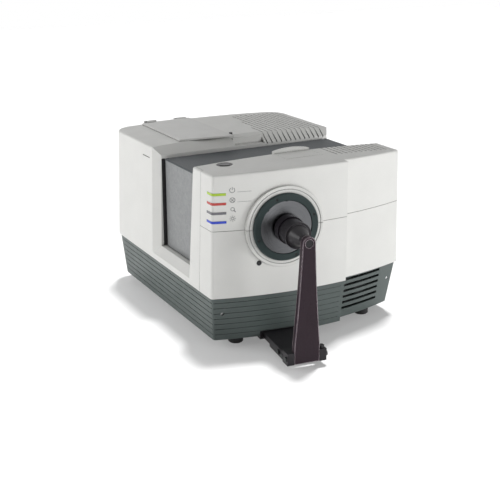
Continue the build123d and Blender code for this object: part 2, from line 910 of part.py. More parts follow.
# ---------------------------------------------------------------- lamp lid
lid_plan = (
    (lid_left, back(lid_front_left)),
    (lid_right, back(lid_front_right)),
    (lid_right, back(lid_rear)),
    (lid_left, back(lid_rear)),
)
rim_left = lid_opening_left + 2 * fit
rim_right = lid_opening_right - 2 * fit
rim_front = lid_opening_front + 2 * fit
rim_rear = lid_opening_rear - 2 * fit

with BuildPart() as lamp_lid:
    add(arched_layer(fit, fit + lid_thickness, lid_left, lid_right,
                     lid_front_right - wall, lid_rear))
    with BuildSketch(Plane.XY):
        with BuildLine():
            Polyline(*lid_plan, close=True)
        make_face()
    extrude(amount=2 * roof, mode=Mode.INTERSECT)
    chamfer(lamp_lid.faces().sort_by(Axis.Z)[-1].edges(), lid_thickness / 3)
    add(
        arched_layer(fit - lid_rim, 2 * lid_rim / 3, rim_left, rim_right, rim_front, rim_rear)
        - arched_layer(-wall, lid_rim / 3, rim_left + liner_thickness,
                       rim_right - liner_thickness, rim_front + liner_thickness,
                       rim_rear - liner_thickness)
    )
    for start in lid_knuckle_starts:
        add(across(start, start + lid_knuckle_length, lid_axis_depth, lid_axis_height,
                   lid_barrel_radius))
        add(
            room(start, start + lid_knuckle_length, lid_rear - wall, lid_axis_depth,
                 lid_axis_height - lid_barrel_radius / 2, lid_axis_height + lid_barrel_radius / 2)
        )
        add(
            across(start - fit, start + lid_knuckle_length + fit, lid_axis_depth,
                   lid_axis_height, hinge_pin_radius + running),
            mode=Mode.SUBTRACT,
        )
save(lamp_lid, "lamp_lid")

with BuildPart() as lid_hinge_pins:
    for start in lid_knuckle_starts:
        add(
            across(start - fit - hinge_lug, start + lid_knuckle_length + fit + hinge_lug,
                   lid_axis_depth, lid_axis_height, hinge_pin_radius)
        )
save(lid_hinge_pins, "lid_hinge_pins")

catch_width = 5.0
with BuildPart() as lid_catch:
    with BuildSketch(Plane.YZ.offset(lid_right + 2 * seam)):
        with BuildLine():
            base_near = compartment_rear + border_width + wall
            Polyline(
                (back(base_near), roof + crown),
                (back(base_near), roof + 2 * crown),
                (back(base_near + catch_width), roof + 2 * crown),
                (back(base_near + 2 * catch_width), roof + crown),
                close=True,
            )
        make_face()
    extrude(amount=catch_width)
save(lid_catch, "lid_catch")

# ---------------------------------------------------------------- viewer door
door_end = compartment_front + door_lip_depth
with BuildPart() as viewer_door:
    add(arched_layer(-door_thickness, 0, door_left, door_right, door_axis_depth, door_end))
    with BuildSketch(Plane.XZ.offset(-back(door_end))):
        with BuildLine():
            middle = (door_left + door_right) / 2
            Line((door_left, roof), (door_left, roof_at(door_left) + door_lip_end))
            ThreePointArc(
                (door_left, roof_at(door_left) + door_lip_end),
                (middle, roof_at(middle) + door_lip_middle),
                (door_right, roof_at(door_right) + door_lip_end),
            )
            Line((door_right, roof_at(door_right) + door_lip_end), (door_right, roof))
            Line((door_right, roof), (door_left, roof))
        make_face()
    extrude(amount=door_lip_depth)
    add(across(door_left, door_right, door_axis_depth, door_axis_height, door_barrel_radius))
    add(
        across(door_left - fit, door_right + fit, door_axis_depth, door_axis_height,
               hinge_pin_radius + running),
        mode=Mode.SUBTRACT,
    )
save(viewer_door, "viewer_door")

pin_overlap = 2 * door_pin_length / 3
with BuildPart() as viewer_hinge_pins:
    add(across(door_left - door_pin_length / 2, door_left + pin_overlap,
               door_axis_depth, door_axis_height, hinge_pin_radius))
    add(across(door_right - pin_overlap, door_right + door_pin_length / 2,
               door_axis_depth, door_axis_height, hinge_pin_radius))
save(viewer_hinge_pins, "viewer_hinge_pins")

# ---------------------------------------------------------------- read button
bezel_floor = dish_height - bezel_depth
spring_floor = bezel_floor + bezel_wall
button_top = dish_height + 2.5
button_bottom = button_top - button_length


def coil(plane, radius, wire, length, turns):
    """Compression spring along a plane's axis, with open turns."""
    pitch = (length - wire) / turns
    foot = plane.offset(wire / 2)
    with BuildPart() as spring:
        with BuildLine() as path:
            Helix(pitch, length - wire, radius, center=foot.origin, direction=foot.z_dir)
        start = path.line @ 0
        direction = path.line % 0
        with BuildSketch(Plane(origin=start, z_dir=direction)):
            RegularPolygon(wire / 2, 4)
        sweep(path=path.line, is_frenet=True)
    return spring.part


with BuildPart() as button_bezel:
    add(ring_solid(button_plan, bezel_floor, dish_height, bezel_body_radius))
    add(ring_solid(button_plan, dish_height, dish_height + 1.0, bezel_radius))
    chamfer(button_bezel.edges().group_by(Axis.Z)[-1], fit)
    add(ring_solid(button_plan, spring_floor, above, button_radius + fit), mode=Mode.SUBTRACT)
save(button_bezel, "button_bezel")

button_spring_radius = 7.0
with BuildPart() as read_button:
    add(ring_solid(button_plan, button_bottom, button_top, button_radius))
    chamfer(read_button.edges().group_by(Axis.Z)[-1], 2 * fit)
save(read_button, "read_button")

with BuildPart() as button_spring:
    add(coil(button_plan.offset(spring_floor), button_spring_radius, spring_wire,
             button_bottom - spring_floor, 3))
save(button_spring, "button_spring")

# ---------------------------------------------------------------- port
ring_front = boss_rise + ring_rise
plate_front = ring_front - plate_recess
plate_back = plate_front - plate_thickness
hub_end = sphere_bore_radius - sphere_setback - 2.5
ring_bevel = 2.0


port_section = Plane(origin=port.origin, x_dir=port.x_dir, z_dir=(0, 0, -1))
port_axis = Axis(port.origin, port.z_dir)


def turned(profile):
    """Solid turned about the port axis from (radius, distance) points."""
    with BuildPart() as piece:
        with BuildSketch(port_section):
            with BuildLine():
                Polyline(*profile, close=True)
            make_face()
        revolve(axis=port_axis)
    return piece.part

with BuildPart() as port_ring:
    add(
        turned((
            (ring_bore_radius, -wall),
            (ring_spigot_radius, -wall),
            (ring_spigot_radius, boss_rise),
            (ring_radius, boss_rise),
            (ring_radius, ring_front - ring_bevel),
            (ring_radius - ring_bevel, ring_front),
            (plate_radius + fit, ring_front),
            (plate_radius + fit, plate_back),
            (ring_bore_radius, plate_back),
        ))
    )
    with BuildSketch(port.offset(ring_front - wall)):
        with PolarLocations(port_screw_circle, 4, start_angle=20):
            Circle(port_screw_radius)
    extrude(amount=2 * wall, mode=Mode.SUBTRACT)
save(port_ring, "port_ring")

with BuildPart() as port_screws:
    with BuildSketch(port.offset(ring_front - wall)):
        with PolarLocations(port_screw_circle, 4, start_angle=20):
            Circle(port_screw_radius)
    extrude(amount=wall - seam)
    with BuildSketch(port.offset(ring_front - seam)):
        with PolarLocations(port_screw_circle, 4, start_angle=20):
            RegularPolygon(port_screw_radius / 2, 6)
    extrude(amount=-wall / 2, mode=Mode.SUBTRACT)
save(port_screws, "port_screws")

notch = 4.0
with BuildPart() as port_plate:
    add(
        turned((
            (aperture_radius, hub_end),
            (port_hub_radius, hub_end),
            (port_hub_radius, plate_back),
            (plate_radius, plate_back),
            (plate_radius, plate_front - seam),
            (plate_radius - seam, plate_front),
            (aperture_radius + seam, plate_front),
            (aperture_radius, plate_front - seam),
        ))
    )
    with BuildSketch(port.offset(plate_back)):
        with PolarLocations(plate_radius, 2, start_angle=90, angular_range=90):
            Rectangle(notch, notch)
    extrude(amount=plate_thickness + 1, mode=Mode.SUBTRACT)
save(port_plate, "port_plate")

# ---------------------------------------------------------------- integrating sphere
flange_outer = sphere_outer + sphere_flange
sphere_middle = port.offset(-sphere_setback)
port_hole_radius = port_hub_radius + fit


def half_sphere(side):
    """Half shell of the sphere with its bolting flange, to one side of its middle."""
    with BuildPart() as half:
        with Locations(sphere_middle.location):
            Sphere(sphere_outer)
            Cylinder(flange_outer, 2 * sphere_flange_thickness)
            Sphere(sphere_bore_radius, mode=Mode.SUBTRACT)
        split(bisect_by=sphere_middle, keep=Keep.TOP if side > 0 else Keep.BOTTOM)
    return half.part


with BuildPart() as sphere_front_half:
    add(half_sphere(1))
    add(ring_solid(sphere_middle, 0, sphere_limit, port_hole_radius), mode=Mode.SUBTRACT)
save(sphere_front_half, "sphere_front_half")

with BuildPart() as sphere_rear_half:
    add(half_sphere(-1))
    add(ring_solid(lens_line, 0, sphere_limit, view_hole_radius), mode=Mode.SUBTRACT)
    add(ring_solid(beam_line, 0, sphere_limit, lamp_snout_radius / 2), mode=Mode.SUBTRACT)
save(sphere_rear_half, "sphere_rear_half")

deck_top = tray_top + deck_rise + deck_thickness
bracket_plan = Plane(origin=(view_x, back(sphere_depth), deck_top), x_dir=port.x_dir, z_dir=(0, 0, 1))
with BuildPart() as sphere_bracket:
    with BuildSketch(bracket_plan):
        Rectangle(bracket_width, bracket_depth)
    extrude(amount=bracket_height)
    with Locations(sphere_middle.location):
        Sphere(sphere_outer + fit, mode=Mode.SUBTRACT)
        Cylinder(flange_outer + fit, 2 * sphere_flange_thickness + 2 * fit, mode=Mode.SUBTRACT)
    with BuildSketch(bracket_plan):
        Rectangle(bracket_width + 4 * wall, bracket_depth)
    extrude(amount=wall)
save(sphere_bracket, "sphere_bracket")

# ---------------------------------------------------------------- optics behind the compartment
with BuildPart() as lens_barrel:
    add(along(lens_axis, lens_barrel_start, spectrometer_front, lens_barrel_radius, lens_radius))
    add(along(lens_axis, spectrometer_front - wall, spectrometer_front,
              lens_barrel_radius, lens_radius / 2))
save(lens_barrel, "lens_barrel")

with BuildPart() as lens_glass:
    add(along(lens_axis, compartment_rear, compartment_rear + lens_thickness,
              lens_radius - running))
    chamfer(lens_glass.edges().filter_by(GeomType.CIRCLE), lens_thickness / 4)
save(lens_glass, "lens_glass")

spectrometer_left = view_x - spectrometer_width / 2
with BuildPart() as spectrometer_box:
    add(room(spectrometer_left, spectrometer_left + spectrometer_width, spectrometer_front,
             spectrometer_front + spectrometer_length, deck_top, deck_top + spectrometer_height))
    fillet(spectrometer_box.edges().filter_by(Axis.Z), 2 * wall)
    add(room(spectrometer_left - wall, spectrometer_left + spectrometer_width + wall,
             spectrometer_front + 3 * wall, spectrometer_front + spectrometer_length - 3 * wall,
             deck_top, deck_top + wall))
save(spectrometer_box, "spectrometer_box")

lamp_floor = tray_top + lamp_rise - lamp_depth / 2 + 3
lamp_top = roof_at(lid_left) - wall - fit
lamp_left = lid_opening_left + wall
lamp_right = lid_opening_right - wall
lamp_near = lid_opening_front + 2 * wall
lamp_far = lid_opening_rear - wall
with BuildPart() as lamp_housing:
    add(room(lamp_left, lamp_right, lamp_near, lamp_far, lamp_floor - lamp_wall, lamp_top))
    add(room(lamp_left - 2 * wall, lamp_right + 2 * wall, lamp_near - wall, lamp_far + 2 * wall,
             lamp_top - lamp_wall, lamp_top))
    add(room(lamp_left + lamp_wall, lamp_right - lamp_wall, lamp_near + lamp_wall,
             lamp_far - lamp_wall, lamp_floor, above), mode=Mode.SUBTRACT)
    add(along(beam_axis, liner_rear - liner_thickness / 2, lamp_near + lamp_wall,
              lamp_snout_radius))
    add(along(beam_axis, liner_rear - liner_thickness, lamp_near + 2 * lamp_wall,
              lamp_snout_radius - lamp_wall), mode=Mode.SUBTRACT)
save(lamp_housing, "lamp_housing")

with BuildPart() as lamp_lens:
    add(along(beam_axis, compartment_rear, compartment_rear + lens_thickness,
              lamp_snout_radius - lamp_wall - running))
    chamfer(lamp_lens.edges().filter_by(GeomType.CIRCLE), lens_thickness / 4)
save(lamp_lens, "lamp_lens")

bulb_plan = Plane(origin=(view_x, back(lamp_near + lamp_depth / 2), lamp_floor), z_dir=(0, 0, 1))
bulb_seat = lamp_rise + tray_top - bulb_length / 2 - lamp_floor
with BuildPart() as lamp_base:
    add(ring_solid(bulb_plan, 0, bulb_seat, 2 * bulb_radius))
    add(ring_solid(bulb_plan, bulb_seat - wall, bulb_seat, bulb_radius + fit),
        mode=Mode.SUBTRACT)
save(lamp_base, "lamp_base")

with BuildPart() as lamp_bulb:
    add(ring_solid(bulb_plan, bulb_seat - wall, bulb_seat + bulb_length, bulb_radius))
    chamfer(lamp_bulb.edges().group_by(Axis.Z)[-1], bulb_radius / 3)
save(lamp_bulb, "lamp_bulb")

# ---------------------------------------------------------------- deck and electronics
post_places = [
    (side * (deck_half - 3 * post_radius), back(depth))
    for side in (-1, 1)
    for depth in (deck_front + 8 * post_radius, deck_rear / 2, deck_rear - 3 * post_radius)
]
with BuildPart() as optics_deck:
    add(room(-deck_half, deck_half, deck_front, deck_rear, deck_top - deck_thickness, deck_top))
    fillet(optics_deck.edges().filter_by(Axis.Z), 3 * wall)
save(optics_deck, "optics_deck")

tray_floor = bench_clearance + wall
with BuildPart() as deck_posts:
    with BuildSketch(Plane.XY.offset(tray_floor)):
        with Locations(post_places):
            Circle(post_radius)
    extrude(amount=deck_top - deck_thickness - tray_floor)
save(deck_posts, "deck_posts")

board_x = deck_half - 9 * wall
board_near = spectrometer_front
with BuildPart() as main_board:
    add(room(board_x, board_x + 2, board_near, board_near + board_length,
             deck_top, deck_top + board_height))
    for row in range(3):
        low = deck_top + board_height * (0.2 + 0.25 * row)
        add(room(board_x - wall, board_x, board_near + board_length * 0.2,
                 board_near + board_length * (0.35 + 0.15 * row), low, low + 5 * wall))
save(main_board, "main_board")

supply_right = half_width - 16 * wall
with BuildPart() as power_supply:
    add(room(supply_right - supply_width, supply_right, deck_rear - supply_length - 2 * wall,
             deck_rear - 2 * wall, tray_floor, tray_floor + supply_height))
    fillet(power_supply.edges().filter_by(Axis.Z), wall / 2)
    for slot in range(6):
        far = deck_rear - supply_length + slot * 5 * wall
        add(room(supply_right - supply_width * 0.85, supply_right - supply_width * 0.15,
                 far, far + wall, tray_floor + supply_height - 1, above), mode=Mode.SUBTRACT)
save(power_supply, "power_supply")

fan_x = bend_x + wall + louvre_width * 0.7
fan_near = bend_depth + right_setback + 3 * wall
fan_height = tray_floor + fan_size / 2
fan_axis = Plane(origin=(fan_x, 0, fan_height), x_dir=(1, 0, 0), z_dir=(0, 1, 0))
fan_shaft_radius = 2.0
strut_depth = 4.0
with BuildPart() as fan_frame:
    add(room(fan_x - fan_size / 2, fan_x + fan_size / 2, fan_near, fan_near + fan_depth,
             tray_floor, tray_floor + fan_size))
    fillet(fan_frame.edges().filter_by(Axis.Y), wall)
    add(along(fan_axis, fan_near - 1, fan_near + fan_depth + 1, fan_bore_radius),
        mode=Mode.SUBTRACT)
    with BuildSketch(fan_axis.offset(back(fan_near + fan_depth - strut_depth))):
        with PolarLocations(0, 3):
            with Locations((fan_bore_radius / 2, 0)):
                Rectangle(fan_bore_radius + 1, wall)
        Circle(fan_hub_radius)
    extrude(amount=strut_depth)
    add(along(fan_axis, fan_near + 2 * wall, fan_near + fan_depth - strut_depth,
              fan_shaft_radius))
save(fan_frame, "fan_frame")

blade_start = fan_near + 1.5
blade_end = fan_near + fan_depth - strut_depth - 1.0
blade_twist = 38.0
with BuildPart() as fan_rotor:
    add(along(fan_axis, blade_start, blade_end, fan_hub_radius))
    for blade in range(fan_blade_count):
        bearing = blade * 360 / fan_blade_count
        blade_plane = Plane(
            origin=(fan_x, back((blade_start + blade_end) / 2), fan_height),
            x_dir=(0, 1, 0),
            z_dir=(cos(radians(bearing)), 0, sin(radians(bearing))),
        )
        with BuildSketch(blade_plane.offset(fan_hub_radius - 1)):
            Rectangle(blade_end - blade_start - 2, 1.6, rotation=blade_twist)
        with BuildSketch(blade_plane.offset(fan_blade_radius - 1)):
            Rectangle(blade_end - blade_start - 2, 1.6, rotation=blade_twist / 2)
        loft(ruled=True)
    add(along(fan_axis, fan_near, fan_near + fan_depth, fan_shaft_radius + running),
        mode=Mode.SUBTRACT)
save(fan_rotor, "fan_rotor")

# ---------------------------------------------------------------- connector panel
rocker_pivot = -2 * wall
rocker_pin_radius = 1.5
rocker_rest = radians(rocker_swing / 2)
outward = rear_wall.z_dir
upward = rear_wall.y_dir
rocker_origin = rear_wall.from_local_coords((rocker_x - rocker_width / 2, panel_middle, rocker_pivot))
rocker_side = Plane(
    origin=rocker_origin,
    x_dir=outward * cos(rocker_rest) + upward * sin(rocker_rest),
    z_dir=rear_wall.x_dir,
)


with BuildPart() as connector_panel:
    add(slab(rear_wall, panel_left + fit, panel_left + panel_width - fit,
             panel_low + fit, panel_high - fit, -wall, -wall + panel_thickness))
    add(
        slab(rear_wall, inlet_x - inlet_width / 2, inlet_x + inlet_width / 2,
             panel_middle - inlet_height / 2, panel_middle + inlet_height / 2, -3 * wall, wall)
        + slab(rear_wall, rocker_x - rocker_width / 2 - fit, rocker_x + rocker_width / 2 + fit,
               panel_middle - rocker_height / 2 - fit, panel_middle + rocker_height / 2 + fit,
               -3 * wall, wall)
        + slab(rear_wall, socket_x - socket_width / 2, socket_x + socket_width / 2,
               panel_middle - socket_height / 2, panel_middle + socket_height / 2,
               -3 * wall, wall),
        mode=Mode.SUBTRACT,
    )
    add(
        slab(rear_wall, rocker_x - rocker_width / 2 - wall, rocker_x - rocker_width / 2 - fit,
             panel_middle - wall, panel_middle + wall, -3 * wall, -wall)
        + slab(rear_wall, rocker_x + rocker_width / 2 + fit, rocker_x + rocker_width / 2 + wall,
               panel_middle - wall, panel_middle + wall, -3 * wall, -wall)
    )
    with BuildSketch(rocker_side.offset(-2 * wall)):
        Circle(rocker_pin_radius + running)
    extrude(amount=rocker_width + 4 * wall, mode=Mode.SUBTRACT)
save(connector_panel, "connector_panel")

with BuildPart() as power_inlet:
    add(slab(rear_wall, inlet_x - inlet_width / 2, inlet_x + inlet_width / 2,
             panel_middle - inlet_height / 2, panel_middle + inlet_height / 2,
             -6 * wall, -wall + panel_thickness))
    add(slab(rear_wall, inlet_x - inlet_width / 2 + wall, inlet_x + inlet_width / 2 - wall,
             panel_middle - inlet_height / 2 + wall, panel_middle + inlet_height / 2 - wall,
             -5 * wall, wall), mode=Mode.SUBTRACT)
    for pin in (-1, 0, 1):
        pin_y = panel_middle + (wall / 2 if pin == 0 else -wall / 4)
        add(slab(rear_wall, inlet_x + pin * 7.0 - 1, inlet_x + pin * 7.0 + 1,
                 pin_y - wall / 2, pin_y + wall / 2, -5 * wall, -2 * wall))
save(power_inlet, "power_inlet")

rocker_nose = 0.42 * rocker_height
with BuildPart() as power_switch:
    with BuildSketch(rocker_side):
        with BuildLine():
            Polyline(
                (-wall, -2 * wall),
                (wall, -3 * wall),
                (2 * wall + 1, -rocker_nose),
                (2 * wall - 1.5, 0),
                (2 * wall + 1, rocker_nose),
                (wall, 3 * wall),
                (-wall, 2 * wall),
                close=True,
            )
        make_face()
        Circle(rocker_pin_radius + running, mode=Mode.SUBTRACT)
    extrude(amount=rocker_width)
save(power_switch, "power_switch")

with BuildPart() as switch_pin:
    with BuildSketch(rocker_side.offset(-wall)):
        Circle(rocker_pin_radius)
    extrude(amount=rocker_width + 2 * wall)
save(switch_pin, "switch_pin")

with BuildPart() as data_socket:
    add(slab(rear_wall, socket_x - socket_width / 2, socket_x + socket_width / 2,
             panel_middle - socket_height / 2, panel_middle + socket_height / 2,
             -5 * wall, -wall + panel_thickness))
    add(slab(rear_wall, socket_x - socket_width / 2 + 1.5, socket_x + socket_width / 2 - 1.5,
             panel_middle - socket_height / 2 + 1.5, panel_middle + socket_height / 2 - 1.5,
             -4 * wall, wall), mode=Mode.SUBTRACT)
save(data_socket, "data_socket")

# ---------------------------------------------------------------- sample clamp
channel_bottom = carriage_bottom - fit - wall
carriage_front = arm_reach - cheek_length
with BuildPart() as slide_channel:
    add(slab(clamp_plan, -channel_half, channel_half, channel_start,
             channel_start + channel_length, channel_bottom, channel_top))
    add(slab(clamp_plan, -carriage_half - fit, carriage_half + fit, 0,
             channel_start + channel_length - wall, carriage_bottom - fit, carriage_top + fit),
        mode=Mode.SUBTRACT)
save(slide_channel, "slide_channel")

arm_gap = 0.4
cheek_inside = arm_foot_half + arm_gap
cheek_outside = clamp_half_width + 1
pin_reach = arm_reach - arm_thickness / 2
pin_across = clamp_plan.offset(arm_pin_height)
pin_plane = Plane(
    origin=pin_across.from_local_coords((0, -pin_reach, 0)),
    x_dir=(0, 0, 1),
    z_dir=clamp_plan.x_dir,
)
carriage_screw_height = 20.5
carriage_screw_radius = 5.0
carriage_screw_gap = 21.0
carriage_screw_head = 3.5


def screw_planes(side):
    """Planes of the two side screws' heads on one side of the carriage."""
    return [
        Plane(
            origin=clamp_plan.from_local_coords(
                (side * carriage_half, -carriage_front + reach, carriage_screw_height)
            ),
            x_dir=(0, 0, 1),
            z_dir=clamp_plan.x_dir * side,
        )
        for reach in (carriage_screw_radius + wall, carriage_screw_radius + wall + carriage_screw_gap)
    ]


with BuildPart() as clamp_carriage:
    add(slab(clamp_plan, -carriage_half, carriage_half, -carriage_front, carriage_inner_end,
             carriage_bottom, carriage_top))
    chamfer(clamp_carriage.edges().group_by(Axis.Z)[-1], seam)
    for side in (-1, 1):
        inner, outer = sorted((side * cheek_inside, side * cheek_outside))
        add(slab(clamp_plan, inner, outer, -arm_reach, -carriage_front + wall,
                 cheek_bottom, cheek_top))
        inner, outer = sorted((side * (carriage_half - 2 * wall), side * carriage_half))
        add(slab(clamp_plan, inner, outer, -carriage_front, -carriage_screw_gap,
                 cheek_bottom, carriage_bottom))
    with BuildSketch(pin_plane.offset(-body_width / 4)):
        Circle(arm_pin_radius + running)
    extrude(amount=body_width / 2, mode=Mode.SUBTRACT)
save(clamp_carriage, "clamp_carriage")

with BuildPart() as carriage_screws:
    for side in (-1, 1):
        for place in screw_planes(side):
            add(ring_solid(place, 0, carriage_screw_head, carriage_screw_radius))
save(carriage_screws, "carriage_screws")

stud_radius = 6.0
stud_height = 5.0
stud_plan = Plane(
    origin=clamp_plan.from_local_coords(
        ((cheek_inside + cheek_outside) / 2, -arm_reach + cheek_length / 2, cheek_top)
    ),
    z_dir=(0, 0, 1),
)
with BuildPart() as stop_stud:
    add(ring_solid(stud_plan, 0, stud_height, stud_radius))
    chamfer(stop_stud.edges().group_by(Axis.Z)[-1], seam)
save(stop_stud, "stop_stud")

arm_low = arm_bottom - port_height
arm_shoulder = arm_low + arm_foot_rise
arm_waist = (arm_shoulder + 0) / 2
arm_back = arm_reach - arm_thickness
with BuildPart() as clamp_arm:
    with BuildSketch(port.offset(arm_back)):
        with BuildLine():
            Line((-arm_foot_half, arm_low), (-arm_foot_half, arm_shoulder))
            ThreePointArc((-arm_foot_half, arm_shoulder), (-arm_waist_half, arm_waist),
                          (-arm_head_radius, 0))
            ThreePointArc((-arm_head_radius, 0), (0, arm_head_radius), (arm_head_radius, 0))
            ThreePointArc((arm_head_radius, 0), (arm_waist_half, arm_waist),
                          (arm_foot_half, arm_shoulder))
            Line((arm_foot_half, arm_shoulder), (arm_foot_half, arm_low))
            Line((arm_foot_half, arm_low), (-arm_foot_half, arm_low))
        make_face()
    extrude(amount=arm_thickness)
    chamfer(clamp_arm.faces().sort_by(Axis.Y)[0].edges(), 1.0)
    add(ring_solid(port, arm_back - 1, arm_reach + 1, arm_spigot_radius + running),
        mode=Mode.SUBTRACT)
    with BuildSketch(pin_plane.offset(-body_width / 4)):
        Circle(arm_pin_radius + running)
    extrude(amount=body_width / 2, mode=Mode.SUBTRACT)
save(clamp_arm, "clamp_arm")

pin_head = 3.0
with BuildPart() as arm_pin:
    with BuildSketch(pin_plane.offset(-cheek_outside)):
        Circle(arm_pin_radius)
    extrude(amount=2 * cheek_outside)
    for side in (-1, 1):
        head = pin_plane.offset(side * cheek_outside)
        with BuildSketch(head):
            Circle(carriage_screw_radius)
        extrude(amount=side * pin_head)
save(arm_pin, "arm_pin")

pad_back = pad_gap + pad_face
pad_rim = pad_gap + pad_length
cup_radius = pad_radius - pad_wall
neck_radius = cup_radius - fit
neck_front = pad_back + plunger_stroke + fit
pocket_end = neck_front + spring_pocket_depth
flange_end = neck_flange_start + neck_flange_length
stem_end = pad_back + stem_length
bore_end = stem_end + plunger_stroke + 1
with BuildPart() as clamp_neck:
    add(
        turned((
            (stem_radius + running, pocket_end),
            (spring_pocket_radius, pocket_end),
            (spring_pocket_radius, neck_front),
            (neck_radius, neck_front),
            (neck_radius, neck_flange_start),
            (neck_flange_radius, neck_flange_start),
            (neck_flange_radius, flange_end),
            (cone_radius, flange_end),
            (shaft_radius, cone_end),
            (shaft_radius, arm_back),
            (arm_spigot_radius, arm_back),
            (arm_spigot_radius, arm_reach - 1),
            (0, arm_reach - 1),
            (0, bore_end),
            (stem_radius + running, bore_end),
        ))
    )
save(clamp_neck, "clamp_neck")

pad_bevel = 1.5
with BuildPart() as sample_pad:
    add(
        turned((
            (0, pad_gap),
            (pad_radius - pad_bevel, pad_gap),
            (pad_radius, pad_gap + pad_bevel),
            (pad_radius, pad_rim),
            (cup_radius, pad_rim),
            (cup_radius, pad_back),
            (stem_radius, pad_back),
            (stem_radius, stem_end),
            (0, stem_end),
        ))
    )
save(sample_pad, "sample_pad")

with BuildPart() as plunger_spring:
    add(coil(port.offset(neck_front + fit), spring_radius, spring_wire,
             spring_pocket_depth - fit, 5))
save(plunger_spring, "plunger_spring")
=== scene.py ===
# %% [markdown]
# # A benchtop sphere colorimeter
#
# The instrument looks at a sample through a port in its bowed front panel and holds it
# there with a swing-down clamp.  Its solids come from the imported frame.  This notebook
# gives them their finishes, adds the small things that only the eye needs, and lights
# the whole on a pale floor.
#
# The frame is loaded first, so that every later cell can ask it where a piece lies.

import json
import math

import bmesh
import bpy
from mathutils import Matrix, Vector


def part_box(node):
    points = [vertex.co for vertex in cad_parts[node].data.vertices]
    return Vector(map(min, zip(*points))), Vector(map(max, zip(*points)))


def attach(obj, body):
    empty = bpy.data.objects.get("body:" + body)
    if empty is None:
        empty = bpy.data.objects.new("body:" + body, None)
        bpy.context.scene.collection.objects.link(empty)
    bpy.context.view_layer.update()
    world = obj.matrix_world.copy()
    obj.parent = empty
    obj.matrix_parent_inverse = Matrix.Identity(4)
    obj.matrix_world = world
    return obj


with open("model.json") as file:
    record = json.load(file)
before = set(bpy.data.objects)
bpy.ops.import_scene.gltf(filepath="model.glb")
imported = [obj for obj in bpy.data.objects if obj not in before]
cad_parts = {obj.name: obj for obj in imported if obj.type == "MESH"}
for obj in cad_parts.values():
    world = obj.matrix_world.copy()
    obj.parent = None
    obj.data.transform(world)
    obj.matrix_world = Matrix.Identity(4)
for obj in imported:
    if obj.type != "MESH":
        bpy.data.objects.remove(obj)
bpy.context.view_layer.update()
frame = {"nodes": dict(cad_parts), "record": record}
nodes = frame["nodes"]
MM = 0.001

# %% [markdown]
# ## Camera
#
# Standing well back with a longer lens keeps the box from splaying.  The camera looks
# down by nineteen degrees from the left of the front.  A lens of sixty-nine millimetres
# on a full-frame sensor then lets the housing's edges converge only a little.

# %% Camera
CAMERA_PLACE = Vector((-996.8, -1722.0, 810.4)) * MM
CAMERA_LOOK = Vector((0.4588, 0.8270, -0.3251))
CAMERA_LENS = 68.6
CAMERA_SENSOR = 36.0

camera_data = bpy.data.cameras.new("camera")
camera_data.lens = CAMERA_LENS
camera_data.sensor_width = CAMERA_SENSOR
camera = bpy.data.objects.new("camera", camera_data)
camera.location = CAMERA_PLACE
camera.rotation_euler = CAMERA_LOOK.to_track_quat("-Z", "Y").to_euler()
bpy.context.scene.collection.objects.link(camera)
bpy.context.scene.camera = camera
bpy.context.scene.view_settings.view_transform = "Standard"
print("camera stands", round(CAMERA_PLACE.length, 2), "m from the origin")

# %% [markdown]
# ## Writing materials as small recipes
#
# A shader is a graph, and a graph is easier to read when each cell adds one idea to it.
# The helpers below make a node, join two sockets and hand the result on.  Noise is read
# in object coordinates: a node's mesh already lies in metres in the shared frame, so a
# scale of one over the grain size gives a grain of that size on every piece.  Most of a
# noise's values lie in the middle of its span, so the recipes stretch that part, or a
# narrower one where the change has to be steeper.

# %% Shader helpers
NOISE_MIDDLE = (0.3, 0.7)
NOISE_STEEP = (0.35, 0.65)


def start_material(name):
    """An empty node material with its principled shader and output."""
    material = bpy.data.materials.new(name)
    material.use_nodes = True
    shader = material.node_tree.nodes["Principled BSDF"]
    return material, material.node_tree, shader


def add_node(tree, kind, **settings):
    """One shader node with its settings and the values of its named inputs."""
    made = tree.nodes.new(kind)
    for key, value in settings.items():
        if key in made.inputs:
            made.inputs[key].default_value = value
        else:
            setattr(made, key, value)
    return made


def place_noise(tree, grain, detail=3.0, roughness=0.55, stretch=(1, 1, 1)):
    """Noise whose features are about one grain, in metres, across."""
    where = add_node(tree, "ShaderNodeTexCoord")
    scaled = add_node(tree, "ShaderNodeMapping")
    scaled.inputs["Scale"].default_value = [part / grain for part in stretch]
    tree.links.new(where.outputs["Object"], scaled.inputs["Vector"])
    noise = add_node(tree, "ShaderNodeTexNoise", Scale=1.0, Detail=detail,
                     Roughness=roughness)
    tree.links.new(scaled.outputs["Vector"], noise.inputs["Vector"])
    return noise.outputs["Fac"]


def remap(tree, value, low, high, to_low, to_high):
    """Stretch a value from one span to another, held inside it."""
    made = add_node(tree, "ShaderNodeMapRange")
    for key, number in zip(("From Min", "From Max", "To Min", "To Max"),
                           (low, high, to_low, to_high)):
        made.inputs[key].default_value = number
    tree.links.new(value, made.inputs["Value"])
    return made.outputs["Result"]


def blend_colours(tree, factor, first, second):
    """Mix two colours, each a tuple or a socket, by a factor socket."""
    made = add_node(tree, "ShaderNodeMix", data_type="RGBA")
    tree.links.new(factor, made.inputs[0])
    for socket, colour in ((made.inputs[6], first), (made.inputs[7], second)):
        if isinstance(colour, (tuple, list)):
            socket.default_value = (*colour[:3], 1.0)
        else:
            tree.links.new(colour, socket)
    return made.outputs[2]


def shade(colour, amount):
    """A colour made lighter or darker by a factor."""
    return tuple(min(1.0, part * amount) for part in colour)


print("shader helpers ready")

